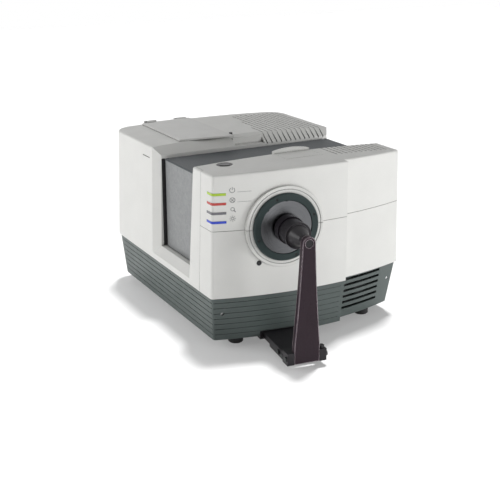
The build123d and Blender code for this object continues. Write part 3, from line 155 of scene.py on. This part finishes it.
# %% [markdown]
# ## Where edges are
#
# Moulded and painted parts wear first at their edges, and every real edge is a little
# round.  The bevel node looks a short way round each point and returns a rounded
# normal.  Used as the normal it softens sharp corners, and compared with the true
# normal it tells where an edge lies, which is all that a worn rim and a painted
# highlight need.  The opposite place is the crevice: seams, ribs and louvres send little
# light back, so they are given painted shade, a darker shade of the same colour.
#
# The two edge limits say how far the two normals part before a rim is seen and before
# it is full.  The two crevice limits say how much of a point's surroundings is open
# where the shade is darkest and where it has gone.

# %% Rounded edges, an edge mask and painted crevice shade
EDGE_FULL, EDGE_SEEN = 0.12, 0.018
CREVICE_DARK, CREVICE_OPEN = 0.30, 0.80


def rounded_normal(tree, radius):
    """Normal that turns smoothly round edges within a radius in metres."""
    return add_node(tree, "ShaderNodeBevel", samples=4, Radius=radius).outputs["Normal"]


def edge_mask(tree, radius):
    """One on edges, nought on flats."""
    around = rounded_normal(tree, radius)
    here = add_node(tree, "ShaderNodeNewGeometry")
    match = add_node(tree, "ShaderNodeVectorMath", operation="DOT_PRODUCT")
    tree.links.new(around, match.inputs[0])
    tree.links.new(here.outputs["Normal"], match.inputs[1])
    return remap(tree, match.outputs["Value"], 1.0 - EDGE_FULL, 1.0 - EDGE_SEEN, 1.0, 0.0)


def add_bump(tree, shader, height, distance, radius):
    """Fine relief over rounded edges, joined to the shader's normal."""
    bump = add_node(tree, "ShaderNodeBump", Strength=1.0, Distance=distance)
    tree.links.new(height, bump.inputs["Height"])
    tree.links.new(rounded_normal(tree, radius), bump.inputs["Normal"])
    tree.links.new(bump.outputs["Normal"], shader.inputs["Normal"])


def painted_crevice_shade(tree, base, colour, reach=7 * MM, depth=0.30):
    """The base colour on open faces, falling to painted shade in seams and grooves."""
    around = add_node(tree, "ShaderNodeAmbientOcclusion", samples=6, Distance=reach)
    open_face = remap(tree, around.outputs["AO"], CREVICE_DARK, CREVICE_OPEN, 0.0, 1.0)
    return blend_colours(tree, open_face, shade(colour, depth), base)


print("edge helpers ready")

# %% [markdown]
# ## Moulded plastic
#
# The housing is an injection moulding with a spark-eroded skin: close up it is pebbled
# at about half a millimetre, from afar it is plain, with faint clouds where hands and
# dust have dulled it.  The same recipe, with other colours and grains, serves the tray,
# the knobs and the fan.

# %% Recipe for a moulded skin
MOULD_CLOUD, MOULD_SMUDGE = 60 * MM, 25 * MM


def moulded(name, colour, rough, grain=0.5 * MM, relief=0.05 * MM, clouds=0.05,
            edge=1.06, edge_radius=0.8 * MM, coat=0.0, shine=0.4):
    """Textured moulding: clouded colour, pebbled skin, edges lighter as wear and painted
    highlight.
    """
    material, tree, shader = start_material(name)
    cloud = place_noise(tree, MOULD_CLOUD, detail=4.0)
    base = blend_colours(tree, cloud, shade(colour, 1 - clouds), shade(colour, 1 + clouds))
    speck = remap(tree, place_noise(tree, grain * 1.7, detail=1.0), *NOISE_STEEP, 0.0, 0.35)
    base = blend_colours(tree, speck, base, shade(colour, 1 - 1.2 * clouds))
    # lighter edges: a little wear on pale parts, a painted highlight on the dark ones
    wear_and_highlight = blend_colours(tree, edge_mask(tree, edge_radius), base, shade(colour, edge))
    # painted shade: the colour darkens where ambient occlusion finds seams and grooves
    tree.links.new(painted_crevice_shade(tree, wear_and_highlight, colour), shader.inputs["Base Color"])
    polish = remap(tree, place_noise(tree, MOULD_SMUDGE), *NOISE_MIDDLE,
                   rough - 0.06, rough + 0.06)
    tree.links.new(polish, shader.inputs["Roughness"])
    shader.inputs["Coat Weight"].default_value = coat
    shader.inputs["Specular IOR Level"].default_value = shine
    add_bump(tree, shader, place_noise(tree, grain, detail=2.0), relief, edge_radius)
    return material


# The edge factors lighten edges: wear on the pale parts, painted highlight on the dark ring,
# pad and base.
finishes = {
    "white_housing": moulded("white_housing", (0.80, 0.80, 0.775), 0.52),
    # the tops take the housing's white made a little darker, as painted shade
    "grey_top": moulded("grey_top", (0.74, 0.74, 0.72), 0.50),
    "base_green": moulded("base_green", (0.100, 0.122, 0.117), 0.42, grain=0.8 * MM,
                          relief=0.09 * MM, clouds=0.10, edge=1.8, shine=0.3),
    "ring_green": moulded("ring_green", (0.030, 0.046, 0.046), 0.40, grain=0.6 * MM,
                          clouds=0.08, edge=2.4, shine=0.2),
    "black_plastic": moulded("black_plastic", (0.022, 0.022, 0.024), 0.42, clouds=0.10,
                             edge=1.7),
    "pad_black": moulded("pad_black", (0.013, 0.010, 0.014), 0.30, clouds=0.10, edge=4.0,
                         shine=0.15),
    "foot_rubber": moulded("foot_rubber", (0.030, 0.030, 0.031), 0.75, grain=1.0 * MM,
                           relief=0.12 * MM, clouds=0.12, edge=1.5),
    "circuit_green": moulded("circuit_green", (0.02, 0.12, 0.05), 0.35, grain=2.0 * MM),
    "lamp_ceramic": moulded("lamp_ceramic", (0.72, 0.70, 0.64), 0.60, grain=1.0 * MM),
}
print("moulded finishes:", ", ".join(finishes))

# %% [markdown]
# ## Metal, painted and bare
#
# The clamp is anodised: a dark satin skin with a trace of plum, with a painted highlight
# along its bevels.  Turned and rolled parts show fine parallel lines, which is the same
# noise squeezed along one direction.

# %% Recipes for metal
METAL_CLOUD = 40 * MM


def worked_metal(name, colour, rough, metallic, stretch=(1, 1, 1), grain=1.0 * MM,
                 relief=0.02 * MM, clouds=0.06, edge=1.3, edge_radius=0.7 * MM, rim=None,
                 shine=0.5, shade_depth=0.30):
    """Metal with fine drawn lines, clouded a little, edges bright as wear and painted
    highlight.
    """
    material, tree, shader = start_material(name)
    cloud = place_noise(tree, METAL_CLOUD, detail=4.0)
    base = blend_colours(tree, cloud, shade(colour, 1 - clouds), shade(colour, 1 + clouds))
    # lighter edges: wear, and on the dark parts a painted highlight
    wear_and_highlight = blend_colours(tree, edge_mask(tree, edge_radius), base, rim or shade(colour, edge))
    # painted shade: the colour darkens where ambient occlusion finds seams and grooves
    tree.links.new(painted_crevice_shade(tree, wear_and_highlight, colour, depth=shade_depth), shader.inputs["Base Color"])
    lines = place_noise(tree, grain, detail=3.0, stretch=stretch)
    polish = remap(tree, lines, *NOISE_MIDDLE, rough - 0.07, rough + 0.07)
    tree.links.new(polish, shader.inputs["Roughness"])
    shader.inputs["Metallic"].default_value = metallic
    shader.inputs["Specular IOR Level"].default_value = shine
    add_bump(tree, shader, lines, relief, edge_radius)
    return material


finishes.update({
    # the arm's pale rim is a painted highlight along its bevels
    "arm_finish": worked_metal("arm_finish", (0.030, 0.018, 0.025), 0.30, 0.0, clouds=0.12,
                               edge_radius=1.8 * MM, rim=(0.78, 0.66, 0.72), shine=0.15),
    # the pale rim here is a painted highlight on the edges
    "black_metal": worked_metal("black_metal", (0.020, 0.018, 0.021), 0.32, 0.0, clouds=0.12,
                                edge_radius=1.0 * MM, rim=(0.16, 0.15, 0.16), shine=0.25),
    "dark_screw": worked_metal("dark_screw", (0.030, 0.034, 0.034), 0.35, 0.5, edge=3.0),
    "liner_black": worked_metal("liner_black", (0.018, 0.018, 0.019), 0.62, 0.0),
    "cover_grey": worked_metal("cover_grey", (0.062, 0.071, 0.077), 0.50, 0.0,
                               grain=1.2 * MM, relief=0.06 * MM, clouds=0.10, edge=1.4,
                               shine=0.2),
    "bare_aluminium": worked_metal("bare_aluminium", (0.62, 0.63, 0.64), 0.34, 1.0,
                                   stretch=(0.1, 1, 1)),
    "screw_steel": worked_metal("screw_steel", (0.74, 0.74, 0.75), 0.30, 0.8, shade_depth=0.9),
    "spring_steel": worked_metal("spring_steel", (0.50, 0.50, 0.52), 0.25, 1.0),
})
print("finishes so far:", len(finishes))

# %% [markdown]
# ## A turned disc
#
# The disc behind the port was faced on a lathe, so its tool marks run round the port's
# axis.  Such marks spread a highlight along the radius: the bright fans that turn with
# the light are the sign of a turned face.  The tangent is the axis crossed with the
# way out from the centre, both taken from the joint of the sample pad, which presses
# along the same axis.

# %% Turned metal round the port's axis
MARKS_PER_METRE = 1800.0
DISC_DARK, DISC_LIGHT = (0.10, 0.103, 0.11), (0.19, 0.193, 0.20)
DISC_MIDDLE = (0.15, 0.15, 0.16)
DISC_ROUGHNESS = (0.24, 0.40)

press = next(joint for joint in frame["record"]["behaviour"]["joints"]
             if joint["name"] == "pad_press")
turned, turned_tree, turned_shader = start_material("port_metal")
turned_shader.inputs["Metallic"].default_value = 1.0
turned_shader.inputs["Anisotropic"].default_value = 0.85
position = add_node(turned_tree, "ShaderNodeTexCoord")
outward = add_node(turned_tree, "ShaderNodeVectorMath", operation="SUBTRACT")
outward.inputs[1].default_value = press["pos_m"]
turned_tree.links.new(position.outputs["Object"], outward.inputs[0])
marks = add_node(turned_tree, "ShaderNodeVectorMath", operation="CROSS_PRODUCT")
marks.inputs[0].default_value = press["axis"]
turned_tree.links.new(outward.outputs["Vector"], marks.inputs[1])
tangent = add_node(turned_tree, "ShaderNodeVectorMath", operation="NORMALIZE")
turned_tree.links.new(marks.outputs["Vector"], tangent.inputs[0])
turned_tree.links.new(tangent.outputs["Vector"], turned_shader.inputs["Tangent"])
from_axis = add_node(turned_tree, "ShaderNodeVectorMath", operation="LENGTH")
turned_tree.links.new(marks.outputs["Vector"], from_axis.inputs[0])
rings = add_node(turned_tree, "ShaderNodeTexNoise", noise_dimensions="1D",
                 Scale=MARKS_PER_METRE, Detail=2.0)
turned_tree.links.new(from_axis.outputs["Value"], rings.inputs["W"])
ring = rings.outputs["Fac"]
turned_base = blend_colours(turned_tree, remap(turned_tree, ring, *NOISE_MIDDLE, 0, 1),
                            DISC_DARK, DISC_LIGHT)
# painted shade: the disc's colour darkens in its recess and next to the ring
turned_tree.links.new(painted_crevice_shade(turned_tree, turned_base, DISC_MIDDLE),
                      turned_shader.inputs["Base Color"])
turned_tree.links.new(remap(turned_tree, ring, *NOISE_MIDDLE, *DISC_ROUGHNESS),
                      turned_shader.inputs["Roughness"])
finishes["port_metal"] = turned
print("turned disc about", [round(part, 3) for part in press["pos_m"]])

# %% [markdown]
# ## Speckled paint on the cover's flaps
#
# The flaps are sheet metal in a hammered grey paint.  Two noises of different sizes, one
# laid over the other, give the cloudy patches and the fine sparkle.

# %% Hammered paint
def hammered(name, colour, rough, patch, speck):
    """Cloudy, slightly metallic paint with fine specks."""
    material, tree, shader = start_material(name)
    patches = remap(tree, place_noise(tree, patch, detail=5.0, roughness=0.7),
                    *NOISE_STEEP, 0, 1)
    base = blend_colours(tree, patches, shade(colour, 0.86), shade(colour, 1.12))
    specks = remap(tree, place_noise(tree, speck, detail=2.0), 0.45, 0.70, 0.0, 0.5)
    base = blend_colours(tree, specks, base, shade(colour, 1.35))
    # lighter edges: wear and a painted highlight
    wear_and_highlight = blend_colours(tree, edge_mask(tree, 0.8 * MM), base, shade(colour, 1.5))
    # painted shade: the colour darkens where ambient occlusion finds seams and grooves
    tree.links.new(painted_crevice_shade(tree, wear_and_highlight, colour), shader.inputs["Base Color"])
    polish = remap(tree, place_noise(tree, 3 * speck), *NOISE_MIDDLE,
                   rough - 0.08, rough + 0.08)
    tree.links.new(polish, shader.inputs["Roughness"])
    shader.inputs["Metallic"].default_value = 0.25
    add_bump(tree, shader, place_noise(tree, 2 * speck), 0.08 * MM, 0.8 * MM)
    return material


finishes["flap_grey"] = hammered("flap_grey", (0.235, 0.242, 0.245), 0.42, 9 * MM, 1.0 * MM)
print("hammered paint ready")

# %% [markdown]
# ## Indicators and glass
#
# The four indicator strips are moulded in coloured plastic and shine a little.  Glass
# keeps its colour and clearness as plain numbers on the shader, and only its smears are
# drawn by noise, as roughness.

# %% Indicator plastics and optical glass
def glossy(name, colour):
    """Coloured glossy moulding with faint swirls."""
    return moulded(name, colour, 0.22, grain=1.5 * MM, relief=0.01 * MM, clouds=0.04,
                   edge=1.25, edge_radius=0.4 * MM, coat=0.3)


for lamp, colour in {
    "green": (0.42, 0.62, 0.03),
    "red": (0.55, 0.05, 0.04),
    "grey": (0.16, 0.16, 0.18),
    "blue": (0.02, 0.06, 0.60),
}.items():
    finishes[f"indicator_{lamp}"] = glossy(f"indicator_{lamp}", colour)

glass, glass_tree, glass_shader = start_material("optical_glass")
glass_shader.inputs["Base Color"].default_value = (0.85, 0.91, 0.93, 1.0)
glass_shader.inputs["Transmission Weight"].default_value = 0.85
glass_shader.inputs["IOR"].default_value = 1.5
smears = remap(glass_tree, place_noise(glass_tree, 12 * MM), *NOISE_MIDDLE, 0.02, 0.10)
glass_tree.links.new(smears, glass_shader.inputs["Roughness"])
finishes["optical_glass"] = glass
print("all finishes:", len(finishes))

# %% [markdown]
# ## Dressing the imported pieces
#
# The record names one material slot for each node.  Each node takes the finish of that
# name, so a piece can't be forgotten: the loop stops at a slot that has no recipe.  The
# screws of the port and the carriage and the arm's pin are then blackened.

# %% Give every node its finish
for part in frame["record"]["subparts"]:
    piece = nodes[part["node"]]
    piece.data.materials.clear()
    piece.data.materials.append(finishes[part["material_slot"]])
BLACKENED = ("port_screws", "carriage_screws", "arm_pin")
for name in BLACKENED:
    nodes[name].data.materials[0] = finishes["dark_screw"]

# %% [markdown]
# ## Printing on a curved panel
#
# The signs beside the indicators are pad-printed: a skin of ink a tenth of a millimetre
# above the bowed panel, which it follows.  Each stroke is drawn flat, cut into short lengths
# and dropped onto the panel by casting a ray from in front, so the print lies on the
# surface wherever the panel turns.

# %% Ink and the stroke helper
INK_LIFT = 0.12 * MM
INK_STEP = 2.0 * MM
FAR_OFF = 1.0
ink = moulded("printed_ink", (0.09, 0.09, 0.10), 0.55, grain=0.8 * MM, relief=0.005 * MM,
              clouds=0.05, edge=1.0, edge_radius=0.2 * MM)
FORWARD = Vector((0, 1, 0))


def panel_point(x, z):
    """Point just in front of the housing's front at an X and a Z."""
    start = Vector((x, -FAR_OFF, z))
    best = None
    for name in ("front_cover_upper", "front_cover_lower"):
        hit, place, normal, _ = nodes[name].ray_cast(start, FORWARD)
        if hit and (best is None or place.y < best[0].y):
            best = (place, normal)
    place, normal = best
    return place + normal * INK_LIFT


def ink_stroke(mesh, points, width, closed=False):
    """Add one printed stroke through flat (x, z) points to a bmesh."""
    if closed:
        points = points + points[:1]
    for start, end in zip(points, points[1:]):
        start, end = Vector(start), Vector(end)
        along = end - start
        count = max(1, int(along.length / INK_STEP))
        side = Vector((-along.y, along.x)).normalized() * width / 2
        rows = []
        for index in range(count + 1):
            middle = start + along * index / count
            rows.append([mesh.verts.new(panel_point(*(middle + offset)))
                         for offset in (side, -side)])
        for row, following in zip(rows, rows[1:]):
            mesh.faces.new((row[0], row[1], following[1], following[0]))


def circle(x, z, radius, first=0.0, last=360.0, count=20):
    """Points round a circle or an arc, degrees from the right."""
    whole = abs(last - first) >= 360.0
    steps = count if whole else count + 1
    return [
        (x + radius * math.cos(math.radians(first + (last - first) * index / count)),
         z + radius * math.sin(math.radians(first + (last - first) * index / count)))
        for index in range(steps)
    ]


def lay_piece(name, mesh, material):
    """Turn a bmesh into a piece that rides on the instrument."""
    data = bpy.data.meshes.new(name)
    mesh.to_mesh(data)
    mesh.free()
    data.materials.append(material)
    piece = bpy.data.objects.new(name, data)
    bpy.context.scene.collection.objects.link(piece)
    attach(piece, "instrument")


print("ink ready")

# %% [markdown]
# ## Four plain signs
#
# A mains sign, a lamp, a magnifier and a sun stand beside the four strips, each about
# ten millimetres across.  Thin leader lines run from the upper two towards the port.

# %% Signs beside the indicators
SIGN_X = -0.184
SIGN_SIZE = 4.8 * MM
SIGN_LINE = 0.9 * MM
SIGN_RISE = {"green": 7.5 * MM, "red": 6.5 * MM, "grey": 6.0 * MM, "blue": 6.5 * MM}
POWER_ARC = (120, 420)
LEADER_LINE = 0.5 * MM
LEADER_END = -0.148
LEADER_DROP = 4 * MM
LENS_RISE = 1 * MM


def sign_height(colour):
    """Middle height of the sign that stands over one indicator strip."""
    low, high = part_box(f"indicator_{colour}")
    return (low[2] + high[2]) / 2 + SIGN_RISE[colour]


sign = bmesh.new()
power_z = sign_height("green")
ink_stroke(sign, circle(SIGN_X, power_z, SIGN_SIZE, *POWER_ARC), SIGN_LINE)
ink_stroke(sign, [(SIGN_X, power_z), (SIGN_X, power_z + 1.3 * SIGN_SIZE)], SIGN_LINE)
lay_piece("sign_power", sign, ink)

sign = bmesh.new()
lamp_z = sign_height("red")
ink_stroke(sign, circle(SIGN_X, lamp_z, SIGN_SIZE), SIGN_LINE, closed=True)
arm = 0.7 * SIGN_SIZE
for rise in (arm, -arm):
    ink_stroke(sign, [(SIGN_X - arm, lamp_z - rise), (SIGN_X + arm, lamp_z + rise)],
               SIGN_LINE)
lay_piece("sign_lamp", sign, ink)

sign = bmesh.new()
glass_z = sign_height("grey")
lens_z = glass_z + LENS_RISE
ink_stroke(sign, circle(SIGN_X, lens_z, 0.7 * SIGN_SIZE), SIGN_LINE, closed=True)
ink_stroke(sign, [(SIGN_X + 0.5 * SIGN_SIZE, lens_z - 0.5 * SIGN_SIZE),
                  (SIGN_X + 1.2 * SIGN_SIZE, glass_z - 1.0 * SIGN_SIZE)], 1.6 * SIGN_LINE)
lay_piece("sign_magnifier", sign, ink)

sign = bmesh.new()
sun_z = sign_height("blue")
ink_stroke(sign, circle(SIGN_X, sun_z, 0.5 * SIGN_SIZE), SIGN_LINE, closed=True)
inner, outer = 0.8 * SIGN_SIZE, 1.25 * SIGN_SIZE
for ray in range(8):
    turn = math.radians(45 * ray)
    ink_stroke(sign, [(SIGN_X + inner * math.cos(turn), sun_z + inner * math.sin(turn)),
                      (SIGN_X + outer * math.cos(turn), sun_z + outer * math.sin(turn))],
               SIGN_LINE)
lay_piece("sign_sun", sign, ink)

leader = bmesh.new()
for height in (power_z - LEADER_DROP, lamp_z - LEADER_DROP):
    ink_stroke(leader, [(SIGN_X + 2 * SIGN_SIZE, height), (LEADER_END, height)], LEADER_LINE)
lay_piece("leader_lines", leader, ink)
print("four signs at x =", SIGN_X)

# %% [markdown]
# ## Painted shade in a gap and in a deep slot
#
# The gap between the cover's flap and the housing shows as a black line, so a thin black
# strip is laid down the housing's front wall there as painted shade.  The vent slot in the
# left wall gets a matt black sheet in its mouth as painted shade, because nothing inside
# the instrument is lit.  The slot is found from two of the housing's own measures: its
# depth is counted from the same front as the housing's, and its drop from the roof.

# %% Thin trim, black as painted shade
SHADE_STRIP, SHADE_STRIP_REACH = 0.8 * MM, 5.5 * MM
SHADE_STRIP_OVERLAP, SHADE_STRIP_ABOVE = 2 * MM, 2 * MM
WALL_GAP = 0.3 * MM
HOUSING_FRONT_DEPTH, ROOF_HEIGHT = 261.0 * MM, 361.5 * MM
SLOT_DEPTH, SLOT_LENGTH, SLOT_DROP = 294.0 * MM, 37.0 * MM, 25.5 * MM
SHADE_SHEET_PROUD, SHADE_SHEET_SUNK = 0.25 * MM, 2.5 * MM
SHADE_SHEET_INSET, SHADE_SHEET_HALF_HEIGHT = 1 * MM, 1.0 * MM
ABOVE_SLOT = 4 * MM


def trim(name, low, high, material, round_edge=0.15 * MM):
    """A thin strip between two corners in metres, its edges broken."""
    strip = bmesh.new()
    bmesh.ops.create_cube(strip, size=1.0)
    size = Vector(high) - Vector(low)
    middle = (Vector(high) + Vector(low)) / 2
    bmesh.ops.transform(strip, verts=strip.verts,
                        matrix=Matrix.Translation(middle) @ Matrix.Diagonal((*size, 1.0)))
    bmesh.ops.bevel(strip, geom=strip.edges, offset=round_edge, segments=2, affect="EDGES")
    lay_piece(name, strip, material)


flap_low, flap_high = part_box("cover_flap_left")
wall_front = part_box("compartment_liner")[1][1] + WALL_GAP
# black strips as painted shade in the gap beside each flap
for side, name in ((-1, "shade_strip_left"), (1, "shade_strip_right")):
    outer = side * (abs(flap_low[0]) + SHADE_STRIP_REACH)
    inner = side * (abs(flap_low[0]) - SHADE_STRIP_OVERLAP)
    trim(name, (min(outer, inner), wall_front - SHADE_STRIP, flap_low[2]),
         (max(outer, inner), wall_front, flap_high[2] + SHADE_STRIP_ABOVE),
         finishes["liner_black"])

slot_y = wall_front - HOUSING_FRONT_DEPTH + SLOT_DEPTH
slot_z = ROOF_HEIGHT - SLOT_DROP
_, side_place, _, _ = nodes["rear_housing"].ray_cast(
    Vector((-FAR_OFF, slot_y + SLOT_LENGTH / 2, slot_z + ABOVE_SLOT)), Vector((1, 0, 0)))
slot_near, slot_far = slot_y + SHADE_SHEET_INSET, slot_y + SLOT_LENGTH - SHADE_SHEET_INSET
# a black sheet as painted shade in the slot's mouth
trim("slot_shade_sheet",
     (side_place.x - SHADE_SHEET_PROUD, slot_near, slot_z - SHADE_SHEET_HALF_HEIGHT),
     (side_place.x + SHADE_SHEET_SUNK, slot_far, slot_z + SHADE_SHEET_HALF_HEIGHT),
     finishes["liner_black"])
print("lining and slot backing laid")

# %% [markdown]
# ## Floor and light
#
# The world shows white and the floor glows only where they are looked at, so the
# background is clean while the light on the object stays plain.  One large soft light
# stands on the left and a little behind, a stronger one low on the right in front, and
# a weak one far behind: the tops stay greyer than the sides, and the border between the
# two strong lights turns dark.  A wide sun overhead shines on the floor alone and draws
# the object's soft shadow there.

# %% Floor
FLOOR_SIZE = 12.0
FLOOR_SHADE = 0.60
FLOOR_GLOW = 0.24
floor_mesh = bpy.data.meshes.new("floor")
half = FLOOR_SIZE / 2
corners = [(-half, -half, 0), (half, -half, 0), (half, half, 0), (-half, half, 0)]
floor_mesh.from_pydata(corners, [], [(0, 1, 2, 3)])
floor = bpy.data.objects.new("floor", floor_mesh)
bpy.context.scene.collection.objects.link(floor)


def looked_at(tree):
    """One where the camera, a reflection or a glass looks, nought for soft light."""
    path = add_node(tree, "ShaderNodeLightPath")
    total = path.outputs["Is Camera Ray"]
    for name in ("Is Glossy Ray", "Is Transmission Ray"):
        either = add_node(tree, "ShaderNodeMath", operation="MAXIMUM")
        tree.links.new(total, either.inputs[0])
        tree.links.new(path.outputs[name], either.inputs[1])
        total = either.outputs[0]
    return total


floor_paint, floor_tree, floor_shader = start_material("floor_paint")
floor_shader.inputs["Base Color"].default_value = (FLOOR_SHADE,) * 3 + (1.0,)
floor_shader.inputs["Roughness"].default_value = 0.9
floor_shader.inputs["Specular IOR Level"].default_value = 0.1
glow = add_node(floor_tree, "ShaderNodeMath", operation="MULTIPLY")
glow.inputs[1].default_value = FLOOR_GLOW
floor_tree.links.new(looked_at(floor_tree), glow.inputs[0])
floor_shader.inputs["Emission Color"].default_value = (1, 1, 1, 1)
floor_tree.links.new(glow.outputs[0], floor_shader.inputs["Emission Strength"])
floor_mesh.materials.append(floor_paint)
print("floor laid,", FLOOR_SIZE, "m across")

# %% World and lamps
WORLD_LEVEL = 0.25
LAMPS_AIM = (0, 0, 0.2)
SHADOW_FROM = Vector((0.17, 0.15, 1.0))
SHADOW_SOFTNESS = math.radians(7)
SUN_STRENGTH = 3.4

world = bpy.data.worlds.new("studio")
world.use_nodes = True
bpy.context.scene.world = world
world_tree = world.node_tree
world_tree.nodes.clear()
dome = add_node(world_tree, "ShaderNodeBackground", Color=(1, 1, 1, 1), Strength=WORLD_LEVEL)
backdrop = add_node(world_tree, "ShaderNodeBackground", Color=(1, 1, 1, 1), Strength=1.0)
choose = add_node(world_tree, "ShaderNodeMixShader")
world_out = add_node(world_tree, "ShaderNodeOutputWorld")
world_tree.links.new(looked_at(world_tree), choose.inputs[0])
world_tree.links.new(dome.outputs[0], choose.inputs[1])
world_tree.links.new(backdrop.outputs[0], choose.inputs[2])
world_tree.links.new(choose.outputs[0], world_out.inputs["Surface"])


def soft_light(name, place, size, power):
    """A square area light at a place in metres, turned towards the object."""
    data = bpy.data.lights.new(name, "AREA")
    data.size = size
    data.energy = power
    lamp = bpy.data.objects.new(name, data)
    lamp.location = place
    towards = Vector(LAMPS_AIM) - Vector(place)
    lamp.rotation_euler = towards.to_track_quat("-Z", "Y").to_euler()
    bpy.context.scene.collection.objects.link(lamp)


soft_light("key_left", (-2.7, 1.2, 1.1), size=1.6, power=31)
soft_light("rim_back", (0.4, 2.8, 1.9), size=1.4, power=8)
soft_light("key_right", (2.1, -2.7, 0.5), size=1.6, power=60)

sun_data = bpy.data.lights.new("floor_sun", "SUN")
sun_data.energy = SUN_STRENGTH
sun_data.angle = SHADOW_SOFTNESS
sun = bpy.data.objects.new("floor_sun", sun_data)
sun.rotation_euler = SHADOW_FROM.to_track_quat("Z", "Y").to_euler()
bpy.context.scene.collection.objects.link(sun)
floor_only = bpy.data.collections.new("floor_only")
floor_only.objects.link(floor)
sun.light_linking.receiver_collection = floor_only
print("lit by the dome, three soft lights and a sun for the floor")
